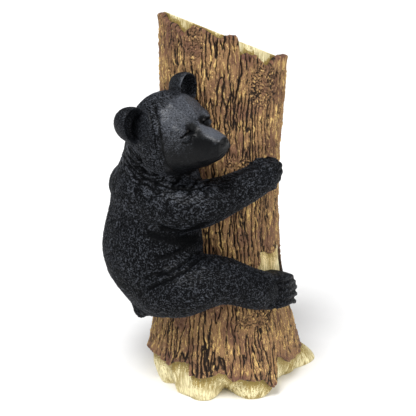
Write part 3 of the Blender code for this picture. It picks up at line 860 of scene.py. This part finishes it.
def paw(side, turn, up, tilt, radii, toes, *form):
    """Pad on the bark with toes along its far edge; its radii are off the bark, along the limb and across."""
    axes = right_handed(along_stump(side * turn, tilt))
    pad = ellipsoid("pad", cub_point(side * turn, 0, up), radii, axes)
    return pad, [toe(side, *place, *form) for place in toes]


def turned_about(axis, angle):
    """Matrix of a turn by an angle in radians about axis 0, 1 or 2."""
    first, second = (axis + 1) % 3, (axis + 2) % 3
    matrix = np.eye(3)
    matrix[[first, second], [first, second]] = math.cos(angle)
    matrix[first, second] = -math.sin(angle)
    matrix[second, first] = math.sin(angle)
    return matrix


def head_axes():
    """Axes of the head as columns: forward, to the cub's left, and up."""
    heading, pitch, roll = np.radians((HEAD_HEADING, -HEAD_PITCH, HEAD_ROLL))
    return turned_about(2, heading) @ turned_about(1, pitch) @ turned_about(0, roll)


def head_point(forward, left, up):
    """Point given in shares of the cub's height from the middle of the skull, along the head's own axes."""
    return cub_point(*HEAD_PLACE) + CUB_HEIGHT * (np.array((forward, left, up)) @ head_axes().T)


def skull():
    """Head from nape to nose tip, as rings that are squarer, and narrower on top, at the muzzle."""
    forward, half_width, top, bottom = refined(HEAD).T
    angle = np.arange(96) * 2 * np.pi / 96
    muzzle = ramp(0.10, 0.18, forward)[:, None]
    power = 1 - 0.22 * muzzle
    across = np.sign(np.cos(angle)) * np.abs(np.cos(angle)) ** power * half_width[:, None]
    across = across * (1 - 0.20 * muzzle * np.maximum(np.sin(angle), 0))
    upward = np.sign(np.sin(angle)) * np.abs(np.sin(angle)) ** power * 0.5 * (top - bottom)[:, None]
    upward = upward + 0.5 * (top + bottom)[:, None]
    rings = np.stack(np.broadcast_arrays(forward[:, None], across, upward), axis=-1)
    return loft("head", cub_point(*HEAD_PLACE) + CUB_HEIGHT * (rings @ head_axes().T))


def ear(forward, left, up, half_width, half_height, lean):
    """Round cup that opens forward: a profile from its back over a thick rim into the hollow, swept round."""
    axes = head_axes() @ turned_about(0, math.radians(lean))
    stations = refined(EAR_PROFILE, 3)
    angle = np.arange(72) * 2 * np.pi / 72
    sideways = stations[:, :1] * half_width * np.cos(angle)
    upward = stations[:, :1] * half_height * np.sin(angle)
    rings = np.stack(np.broadcast_arrays(stations[:, 1:], sideways, upward), axis=-1)
    return loft("ear", head_point(forward, left, up) + CUB_HEIGHT * (rings @ axes.T))


def flow_on(points, normals, wanted, seed, swirl):
    """Direction of the fur: the wanted one, laid on the surface and turned by slow noise times swirl."""
    flat = unit(wanted - normals * np.sum(wanted * normals, axis=1)[:, None])
    across = np.cross(normals, flat)
    slow = noise_in_space(points / 0.030, seed)
    quick = noise_in_space(points / 0.013, seed + 1)
    turn = np.radians(swirl) * (slow + 0.6 * quick)
    return flat * np.cos(turn)[:, None] + across * np.sin(turn)[:, None]


def locks(points, flow, width, length, seed):
    """Carved locks of fur: noise of one lock's width averaged along the flow over a lock's length."""
    total, weights = 0.0, 0.0
    for step in np.linspace(-0.5, 0.5, 9):
        weight = 0.5 + 0.5 * math.cos(2 * math.pi * step)
        total = total + weight * noise_in_space((points + flow * (step * length)) / width, seed)
        weights += weight
    value = total / weights
    return value / np.std(value)


def limb_pull(points, side, stations):
    """Closeness to a limb, 0 to 1, and the limb's own direction there."""
    turn, crest, up, half_width = refined(stations, 3).T
    middles = cub_point(side * turn, 0.5 * crest, up)
    run = unit(np.gradient(middles, axis=0))
    apart = np.linalg.norm(points[:, None] - middles[None], axis=2) / (CUB_HEIGHT * (half_width + 0.02))
    nearest = np.argmin(apart, axis=1)
    return 1 - ramp(0.9, 1.5, apart.min(axis=1)), run[nearest]


def stroke(points, path, width, height, fade=0.15):
    """Relief of a carved line: height * exp(-(d / width)^2) at distance d from the path, less at its ends."""
    path = np.asarray(path, float)
    best = np.full(len(points), 1e9)
    place = np.zeros(len(points))
    for i, (start, end) in enumerate(zip(path, path[1:])):
        run = end - start
        t = np.clip((points - start) @ run / (run @ run), 0, 1)
        apart = np.linalg.norm(points - start - t[:, None] * run, axis=1)
        nearer = apart < best
        best = np.where(nearer, apart, best)
        place = np.where(nearer, (i + t) / (len(path) - 1), place)
    ends = ramp(0, fade, place) * ramp(0, fade, 1 - place)
    return height * np.exp(-((best / width) ** 2)) * ends


def blob(points, centre, radius, height):
    """Relief of a round swelling or dent: height * exp(-(d / radius)^2) at distance d from the centre."""
    apart = np.linalg.norm(points - np.asarray(centre, float), axis=1)
    return height * np.exp(-((apart / radius) ** 2))


def body_folds(points):
    """Depth of the folds at the hip, waist, armpit and neck, in metres."""
    total = np.zeros(len(points))
    for side in (1, -1):
        for path, width, height in BODY_FOLDS:
            turn, out, up = np.array(path, float).T
            total += stroke(points, cub_point(side * turn, out, up), width * MM, height * MM)
    return total


def neck_wrinkles(points):
    """Leathery wrinkles in metres: valleys where noise stretched round the neck changes sign."""
    azimuth = np.degrees(np.arctan2(points[:, 1], points[:, 0]))
    turn = np.abs(degrees_from(azimuth, CUB_AZIMUTH))
    up = (points[:, 2] - CUB_SEAT) / CUB_HEIGHT
    sag = 0.080 * ((35 - np.minimum(turn, 60)) / 35) ** 2
    level = up - sag
    bent = level / 0.021 + 0.8 * noise_in_space(points / 0.012, 81)
    valleys = plates(noise(turn / 9, bent, 82), 0.10)
    near = ramp(0.555, 0.63, level) * (1 - ramp(0.80, 0.86, level)) * (1 - ramp(56, 66, turn))
    return 1.6 * MM * near * (valleys - 0.8), near


def body_fur(obj, settings):
    """Moves the body's skin out and in for its folds, wrinkles and carved fur, and stores its tone with
    painted shade in the folds and wrinkles.

    A strand is 0.5 + 0.5 cos(3 v) of the locks' noise v, so it stands where v is near 0 or a full turn away.
    """
    points, normals = surface(obj)
    wanted = np.tile(np.array((0.0, 0.0, -1.0)), (len(points), 1))
    for side in (1, -1):
        for stations in (ARM, LEG):
            close, run = limb_pull(points, side, stations)
            wanted = wanted * (1 - close)[:, None] + run * close[:, None]
    flow = flow_on(points, normals, wanted, 61, 75)
    value = locks(points, flow, settings.stroke_width, settings.stroke_length, 63)
    coarse = locks(points, flow, 1.9 * settings.stroke_width, 1.5 * settings.stroke_length, 64)
    strands = (0.5 + 0.5 * np.cos(3.0 * value)) ** 1.2 + 0.15 * crests(coarse, 0.4)
    swell = noise_in_space(points / 0.022, 65)
    folds = body_folds(points)
    wrinkles, near = neck_wrinkles(points)
    azimuth = np.degrees(np.arctan2(points[:, 1], points[:, 0]))
    paws = ramp(103, 112, np.abs(degrees_from(azimuth, CUB_AZIMUTH)))
    fur = settings.stroke_depth * (1 - 0.45 * near) * (1 - 0.75 * paws) * (strands - 0.8)
    move_points(obj, points + normals * (fur + 0.0006 * swell + folds + wrinkles - 0.0014)[:, None])
    # Painted shade: the tone is darker in the folds and in the neck's wrinkle valleys, and a little lighter
    # on the wrinkles' ridges. The strands' lighter crests are partly worn paint and partly painted sheen.
    tone = 0.66 * strands * (1 - 0.1 * paws) + np.minimum(folds, 0) / (5 * MM)
    tone = tone + wrinkles / (1.5 * MM)
    paint(obj, "relief", np.clip(tone, 0, 1))
    paint(obj, "gloss", 0 * tone)
    return obj


def cub_body(settings):
    """Torso, limbs, paws and tail as one skin with its fur."""
    bulk = [torso(), tail()]
    details = []
    for side in (1, -1):
        bulk += [limb("arm", side, ARM), limb("leg", side, LEG)]
        for place in (HAND, FOOT):
            pad, digits = paw(side, *place)
            bulk.append(pad)
            details += digits
    skin = remeshed(joined("cub_body", bulk), BODY_VOXELS[0], 14)
    whole = remeshed(joined("cub_body", [skin, *details]), BODY_VOXELS[1], 3)
    return thinned(body_fur(whole, settings), MOST_TRIANGLES)


def face_relief(local):
    """Carving of the face in metres, alike on both sides: lids, brow, muzzle, mouth, nostrils and creases."""
    folded = np.stack([local[:, 0], np.abs(local[:, 1]), local[:, 2]], axis=1) * CUB_HEIGHT
    total = np.zeros(len(folded))
    for path, width, height in FACE_STROKES:
        total += stroke(folded, np.array(path) * CUB_HEIGHT, width * MM, height * MM, 0.12)
    for centre, radius, height in FACE_BLOBS:
        total += blob(folded, np.array(centre) * CUB_HEIGHT, radius * MM, height * MM)
    return total


def head_fur(obj, settings):
    """Moves the head's skin out and in for its creases and fur, fine on the face and bold behind it, and
    stores its tone with painted shade, light, highlight and sheen.
    """
    points, normals = surface(obj)
    axes = head_axes()
    local = (points - cub_point(*HEAD_PLACE)) @ axes / CUB_HEIGHT
    forward, _, up = local.T
    crease = 0.066 - 0.35 * np.maximum(up - 0.05, 0) - 0.02 * ramp(-0.05, -0.12, up)
    face = ramp(-0.020, 0.020, forward - crease + 0.012 * noise_in_space(points / 0.009, 76))
    smooth = ramp(0.11, 0.19, forward)
    wanted = -np.tile(axes[:, 0], (len(points), 1)) - 0.7 * axes[:, 2]
    flow = flow_on(points, normals, wanted, 71, 70)
    value = locks(points, flow, settings.stroke_width, settings.stroke_length, 73)
    fine = locks(points, flow, 0.55 * settings.stroke_width, 0.9 * settings.stroke_length, 74)
    strands = 0.5 + 0.5 * np.cos(2.7 * value)
    hairs = 0.55 + 0.45 * np.cos(2.3 * fine)
    carving = face_relief(local)
    near_ear = [np.linalg.norm((local - np.array(place[:3])) / 0.085, axis=1) for place in EARS]
    ears = 1 - ramp(0.85, 1.05, np.minimum(*near_ear))
    bold = 1.3 * (1 - face) * (1 - 0.8 * ears) * (strands - 1.0)
    bold = bold + face * (0.34 - 0.28 * smooth) * (hairs - 1.0)
    nose = ramp(0.243, 0.250, forward) * ramp(-0.045, -0.030, up)
    relief = settings.stroke_depth * bold * (1 - nose) + carving - 0.0009
    move_points(obj, points + normals * relief[:, None])
    # The ears are painted lighter all over, partly as painted sheen.
    strands = strands * (1 - ears) + (0.35 + 0.35 * hairs) * ears
    # The smooth face is painted lighter than the long fur, partly as painted sheen.
    tone = (1 - face) * (0.08 + 0.66 * strands) + face * (0.36 + 0.36 * hairs * (1 - 0.6 * smooth))
    # Painted shade low on the face and painted light high on it, as from light above.
    tone = tone - 0.34 * face * ramp(0.05, -0.06, up) + 0.12 * face * ramp(0.03, 0.10, up)
    # Painted highlight on the upward-facing top of the muzzle; the nose keeps its own darker paint.
    tone = tone + 0.44 * smooth * ramp(0.40, 0.85, normals[:, 2]) - 0.30 * nose
    # Painted shade in the carved lines of the lids, mouth and creases.
    paint(obj, "relief", np.clip(tone + np.minimum(carving, 0) / (3 * MM), 0, 1))
    paint(obj, "gloss", np.maximum(0.8 * nose, 0.4 * face))
    return obj


def cub_eyes():
    """Eyeballs set behind the lids."""
    places = [head_point(EYE[0], side * EYE[1], EYE[2]) for side in (1, -1)]
    return joined("cub_eyes", [ellipsoid("eye", place, EYE_RADII, head_axes()) for place in places])


def cub_head(settings):
    """Skull, muzzle, jaw, brows and nose melted together, then ears and the fur."""
    axes = head_axes()
    bulk = [skull(), ellipsoid("jaw", head_point(-0.005, 0, -0.080), (0.125, 0.142, 0.100), axes)]
    for side in (1, -1):
        bulk.append(ellipsoid("brow", head_point(0.088, side * 0.058, 0.030), (0.056, 0.050, 0.046), axes))
    skin = remeshed(joined("cub_head", bulk), HEAD_VOXELS[0], 12)
    nose = ellipsoid("nose", head_point(0.2365, 0, -0.012), (0.024, 0.034, 0.026), axes)
    whole = remeshed(joined("cub_head", [skin, *(ear(*place) for place in EARS), nose]), HEAD_VOXELS[1], 2)
    return thinned(head_fur(whole, settings), MOST_TRIANGLES)


# Paint


def new_node(tree, kind, **settings):
    """Shader node of a kind, with its settings."""
    made = tree.nodes.new(kind)
    for name, value in settings.items():
        setattr(made, name, value)
    return made


def feed(tree, value, socket):
    """Sets a socket to a value, or links it to another node's output."""
    if isinstance(value, bpy.types.NodeSocket):
        tree.links.new(value, socket)
    elif value is not None:
        socket.default_value = value


def math_node(tree, operation, first, second=None, third=None, clamp=False):
    """Result of arithmetic on up to three values or sockets."""
    made = new_node(tree, "ShaderNodeMath", operation=operation, use_clamp=clamp)
    for value, socket in zip((first, second, third), made.inputs):
        feed(tree, value, socket)
    return made.outputs[0]


def band(tree, value, low, high, start=0.0, end=1.0):
    """Smooth step from start at low to end at high."""
    made = new_node(tree, "ShaderNodeMapRange", interpolation_type="SMOOTHSTEP")
    names = ("Value", "From Min", "From Max", "To Min", "To Max")
    for name, given in zip(names, (value, low, high, start, end)):
        feed(tree, given, made.inputs[name])
    return made.outputs[0]


def mixed(tree, share, first, second):
    """Colour between the first and the second, by the second's share."""
    made = new_node(tree, "ShaderNodeMix", data_type="RGBA")
    feed(tree, share, made.inputs["Factor"])
    for value, socket in ((first, made.inputs[6]), (second, made.inputs[7])):
        feed(tree, value if isinstance(value, bpy.types.NodeSocket) else (*value, 1.0), socket)
    return made.outputs[2]


def attribute(tree, name):
    """Value that paint() stored under a name."""
    return new_node(tree, "ShaderNodeAttribute", attribute_name=name).outputs["Fac"]


def brushed_paint_group():
    """Marks of hand painting: blotches, streaks of a dry brush, pits, and the height of the paint's grain."""
    group = bpy.data.node_groups.new("brushed paint", "ShaderNodeTree")
    group.interface.new_socket("Stretch", in_out="INPUT", socket_type="NodeSocketVector")
    group.interface.new_socket("Grain Scale", in_out="INPUT", socket_type="NodeSocketFloat")
    for name in ("Blotches", "Streaks", "Pits", "Height"):
        group.interface.new_socket(name, in_out="OUTPUT", socket_type="NodeSocketFloat")
    given = new_node(group, "NodeGroupInput")
    result = new_node(group, "NodeGroupOutput")
    place = new_node(group, "ShaderNodeTexCoord").outputs["Object"]
    stretched = new_node(group, "ShaderNodeVectorMath", operation="MULTIPLY")
    feed(group, place, stretched.inputs[0])
    feed(group, given.outputs["Stretch"], stretched.inputs[1])
    marks = {}
    for name, *values in (
        ("Blotches", place, 26.0, 3.0, 0.5),
        ("Streaks", stretched.outputs[0], given.outputs["Grain Scale"], 4.0, 0.65),
        ("Pits", place, 620.0, 3.0, 0.5),
    ):
        made = new_node(group, "ShaderNodeTexNoise")
        for socket, value in zip(("Vector", "Scale", "Detail", "Roughness"), values):
            feed(group, value, made.inputs[socket])
        marks[name] = made.outputs[0]
    marks["Height"] = math_node(group, "ADD", marks["Streaks"], marks["Pits"])
    for name, value in marks.items():
        feed(group, value, result.inputs[name])
    return group


def new_material(name, stretch, grain):
    """Material, its tree and shader, and the brushed paint's marks at a stretch and scale."""
    material = bpy.data.materials.new(name)
    material.use_nodes = True
    tree = material.node_tree
    shader = tree.nodes["Principled BSDF"]
    marks = new_node(tree, "ShaderNodeGroup")
    marks.node_tree = bpy.data.node_groups.get("brushed paint") or brushed_paint_group()
    marks.inputs["Stretch"].default_value = stretch
    marks.inputs["Grain Scale"].default_value = grain
    return material, tree, shader, marks.outputs


def raised(tree, shader, height, distance, strength):
    """Bump from a height, in metres, into the shader's normal."""
    made = new_node(tree, "ShaderNodeBump")
    feed(tree, height, made.inputs["Height"])
    made.inputs["Distance"].default_value = distance
    made.inputs["Strength"].default_value = strength
    feed(tree, made.outputs[0], shader.inputs["Normal"])


def bark_paint(settings):
    """Brown bark, near black in the cracks, dusky in places and at the edges, and ochre on its crests."""
    material, tree, shader, marks = new_material("bark paint", (1.0, 1.0, 0.20), 520.0)
    relief = attribute(tree, "relief")
    low = band(tree, math_node(tree, "MULTIPLY_ADD", marks["Streaks"], 1.2, relief), 0.84, 1.30)
    base = mixed(tree, low, settings.crack_colour, settings.bark_colour)
    dark = band(tree, marks["Blotches"], 0.47, 0.62, 0.0, 0.75)
    dusk = math_node(tree, "ADD", attribute(tree, "dusk"), dark)
    dusky = mixed(tree, math_node(tree, "MULTIPLY", dusk, low, clamp=True), base, settings.dusk_colour)
    streaky = math_node(tree, "MULTIPLY_ADD", marks["Streaks"], 2.4, -1.3)
    pitted = math_node(tree, "MULTIPLY_ADD", marks["Pits"], 1.6, -0.8)
    crest = math_node(tree, "ADD", math_node(tree, "ADD", attribute(tree, "crest"), streaky), pitted)
    brushed = math_node(tree, "MULTIPLY", band(tree, crest, 0.25, 0.64), band(tree, relief, 0.30, 0.62))
    spread = band(tree, marks["Blotches"], 0.40, 0.62, 1.0, 0.45)
    less = math_node(tree, "MULTIPLY_ADD", attribute(tree, "dusk"), -0.6, 1.0)
    share = math_node(tree, "MULTIPLY", math_node(tree, "MULTIPLY", brushed, spread), less, clamp=True)
    feed(tree, mixed(tree, share, dusky, settings.ochre_colour), shader.inputs["Base Color"])
    feed(tree, band(tree, marks["Pits"], 0.35, 0.65, 0.50, 0.72), shader.inputs["Roughness"])
    shader.inputs["Specular IOR Level"].default_value = 0.3
    raised(tree, shader, marks["Height"], 0.0020, 1.0)
    return material


def wood_paint(settings):
    """Cream wood with an olive wash in the grooves, speckles near the bark, and a golden patch."""
    material, tree, shader, marks = new_material("cut wood paint", (1.0, 1.0, 0.22), 380.0)
    relief = attribute(tree, "relief")
    lowness = band(tree, relief, 0.20, 0.76, 1.0, 0.0)
    streaky = band(tree, marks["Streaks"], 0.46, 0.64, 0.0, 0.75)
    share = math_node(tree, "ADD", math_node(tree, "MULTIPLY", lowness, 0.75), streaky, clamp=True)
    share = math_node(tree, "MULTIPLY", share, band(tree, marks["Blotches"], 0.38, 0.60, 0.55, 1.0))
    grain = math_node(tree, "ADD", marks["Pits"], marks["Streaks"])
    speckle = math_node(tree, "MULTIPLY_ADD", attribute(tree, "stained"), 0.50, grain)
    share = math_node(tree, "MAXIMUM", share, band(tree, speckle, 1.08, 1.40))
    uneven = band(tree, marks["Streaks"], 0.40, 0.60, 0.50, 1.0)
    golden = math_node(tree, "MULTIPLY", attribute(tree, "golden"), uneven)
    wood = mixed(tree, golden, settings.wood_colour, settings.ochre_colour)
    feed(tree, mixed(tree, share, wood, settings.stain_colour), shader.inputs["Base Color"])
    feed(tree, band(tree, marks["Pits"], 0.35, 0.65, 0.55, 0.75), shader.inputs["Roughness"])
    shader.inputs["Specular IOR Level"].default_value = 0.3
    raised(tree, shader, marks["Height"], 0.0008, 0.8)
    return material


def fur_paint(settings):
    """Near-black fur with a bluish grey on the carved crests, partly worn paint and partly painted sheen, and
    a glossier face and nose.
    """
    material, tree, shader, marks = new_material("black fur paint", (1.0, 1.0, 1.0), 700.0)
    relief = attribute(tree, "relief")
    # The stored tone carries painted shade in folds, wrinkles and carved lines, and painted sheen and
    # highlight on the face, ears and muzzle; where it is high, the crests take the worn and sheen colour.
    crest = math_node(tree, "ADD", relief, math_node(tree, "MULTIPLY_ADD", marks["Streaks"], 1.4, -0.7))
    spread = band(tree, marks["Blotches"], 0.38, 0.60, 1.0, 0.75)
    share = math_node(tree, "MULTIPLY", band(tree, crest, 0.28, 1.05), spread)
    feed(tree, mixed(tree, share, settings.fur_colour, settings.worn_and_sheen_colour), shader.inputs["Base Color"])
    feed(tree, band(tree, marks["Pits"], 0.30, 0.70, 0.46, 0.62), shader.inputs["Roughness"])
    gloss = math_node(tree, "MULTIPLY", attribute(tree, "gloss"), 0.45)
    shine = math_node(tree, "MULTIPLY_ADD", crest, 0.22, gloss)
    feed(tree, math_node(tree, "MAXIMUM", shine, 0.0), shader.inputs["Coat Weight"])
    shader.inputs["Coat Roughness"].default_value = 0.32
    shader.inputs["Specular IOR Level"].default_value = 0.04
    raised(tree, shader, marks["Height"], 0.0007, 0.9)
    return material


def eye_gloss(settings):
    """Glossy, nearly black brown."""
    material, tree, shader, marks = new_material("eye gloss", (1.0, 1.0, 1.0), 300.0)
    tone = band(tree, marks["Blotches"], 0.3, 0.7)
    brown = tuple(1.6 * part for part in settings.eye_colour)
    feed(tree, mixed(tree, tone, settings.eye_colour, brown), shader.inputs["Base Color"])
    shader.inputs["Roughness"].default_value = 0.30
    return material


# Stage


def floor_paint(settings):
    """Matt, nearly even white."""
    material, tree, shader, marks = new_material("studio floor", (1.0, 1.0, 1.0), 12.0)
    tone = band(tree, marks["Blotches"], 0.2, 0.8)
    light = tuple(min(1.0, 1.02 * part) for part in settings.floor_colour)
    feed(tree, mixed(tree, tone, settings.floor_colour, light), shader.inputs["Base Color"])
    shader.inputs["Roughness"].default_value = 0.9
    shader.inputs["Specular IOR Level"].default_value = 0.1
    return material


def studio_floor(settings):
    """Level disc out to the horizon, just under the statue."""
    columns = 96
    turn = np.arange(columns) * 360 / columns
    rings = np.stack([polar(radius, turn, -0.2 * MM) for radius in (60.0, 0.4, 0.01)])
    heart = np.arange(columns) + 2 * columns
    obj = grid_object("studio_floor", rings.reshape(-1, 3), grid_quads(3, columns), (heart,))
    obj.data.materials.append(floor_paint(settings))


def sun_light(name, direction, softness, power):
    """Even light from a direction, with shadows softened over an angle."""
    data = bpy.data.lights.new(name, "SUN")
    data.energy = power
    data.angle = math.radians(softness)
    obj = bpy.data.objects.new(name, data)
    x, y, z = direction
    obj.rotation_euler = (math.atan2(math.hypot(x, y), z), 0, math.atan2(-x, y) + math.pi)
    bpy.context.scene.collection.objects.link(obj)


def build_stage(settings):
    """Floor, surrounding light, lamps and the camera."""
    scene = bpy.context.scene
    studio_floor(settings)
    world = bpy.data.worlds.new("studio")
    world.use_nodes = True
    surround = world.node_tree.nodes["Background"]
    surround.inputs["Color"].default_value = (1.0, 1.0, 1.0, 1.0)
    surround.inputs["Strength"].default_value = settings.sky_strength
    scene.world = world
    sun_light("key light", (-0.35, -0.70, 1.30), 26, settings.key_power)
    sun_light("fill light", (0.85, -0.85, 0.75), 50, 0.37 * settings.key_power)
    camera = bpy.data.cameras.new("camera")
    camera.sensor_width = 36.0
    camera.lens = FOCAL_PIXELS / PICTURE_PIXELS * camera.sensor_width
    camera.clip_end = 200.0
    obj = bpy.data.objects.new("camera", camera)
    obj.location = CAMERA_PLACE
    fall = math.atan2(CAMERA_PLACE[2] - CAMERA_AIM_HEIGHT, -CAMERA_PLACE[1])
    obj.rotation_euler = (math.pi / 2 - fall, 0, 0)
    scene.collection.objects.link(obj)
    scene.camera = obj
    scene.view_settings.view_transform = "Standard"


# Operators and panel


class STATUE_OT_wood(bpy.types.Operator):
    """Builds the bare wood under and around the bark"""

    bl_idname = "statue.wood"
    bl_label = "Bare wood"

    def execute(self, context):
        settings = context.scene.statue_stump
        mounted(wood_core(settings), wood_paint(settings))
        return {"FINISHED"}


class STATUE_OT_bark(bpy.types.Operator):
    """Builds the bark with its broken edges and bare patch"""

    bl_idname = "statue.bark"
    bl_label = "Bark"

    def execute(self, context):
        settings = context.scene.statue_stump
        bark = bark_paint(settings)
        for name, start, end, columns, triangles in (
            ("bark_front", 360, 178, FRONT_COLUMNS, MOST_TRIANGLES),
            ("bark_back", 178, 0, BACK_COLUMNS, BACK_TRIANGLES),
        ):
            shell = bark_shell(name, np.linspace(start, end, columns), settings, triangles)
            mounted(shell, bark)
        return {"FINISHED"}


class STATUE_OT_cub(bpy.types.Operator):
    """Builds the cub's body and head"""

    bl_idname = "statue.cub"
    bl_label = "Cub"

    def execute(self, context):
        settings = context.scene.statue_cub
        fur = fur_paint(settings)
        mounted(cub_body(settings), fur)
        mounted(cub_head(settings), fur)
        mounted(cub_eyes(), eye_gloss(settings))
        return {"FINISHED"}


class STATUE_OT_stage(bpy.types.Operator):
    """Builds the floor, the lights and the camera"""

    bl_idname = "statue.stage"
    bl_label = "Stage"

    def execute(self, context):
        build_stage(context.scene.statue_stage)
        return {"FINISHED"}


class STATUE_PT_panel(bpy.types.Panel):
    """Sizes, colours and building steps of the statue"""

    bl_label = "Bear statue"
    bl_idname = "STATUE_PT_panel"
    bl_space_type = "VIEW_3D"
    bl_region_type = "UI"
    bl_category = "Bear statue"

    def draw(self, context):
        layout = self.layout
        for group in (context.scene.statue_stump, context.scene.statue_cub, context.scene.statue_stage):
            box = layout.box()
            for name in group.__annotations__:
                box.prop(group, name)
        for operator in (STATUE_OT_wood, STATUE_OT_bark, STATUE_OT_cub, STATUE_OT_stage):
            layout.operator(operator.bl_idname)


CLASSES = (
    StumpSettings, CubSettings, StageSettings, STATUE_OT_wood, STATUE_OT_bark, STATUE_OT_cub, STATUE_OT_stage,
    STATUE_PT_panel,
)


def register():
    """Adds the settings, operators and panel to Blender."""
    for group in CLASSES:
        bpy.utils.register_class(group)
    bpy.types.Scene.statue_stump = bpy.props.PointerProperty(type=StumpSettings)
    bpy.types.Scene.statue_cub = bpy.props.PointerProperty(type=CubSettings)
    bpy.types.Scene.statue_stage = bpy.props.PointerProperty(type=StageSettings)


def unregister():
    """Takes the settings, operators and panel out of Blender."""
    del bpy.types.Scene.statue_stage, bpy.types.Scene.statue_cub, bpy.types.Scene.statue_stump
    for group in reversed(CLASSES):
        bpy.utils.unregister_class(group)


def main():
    """Builds every piece and the stage."""
    register()
    bpy.ops.statue.wood()
    bpy.ops.statue.bark()
    bpy.ops.statue.cub()
    bpy.ops.statue.stage()


if __name__ == "__main__":
    main()
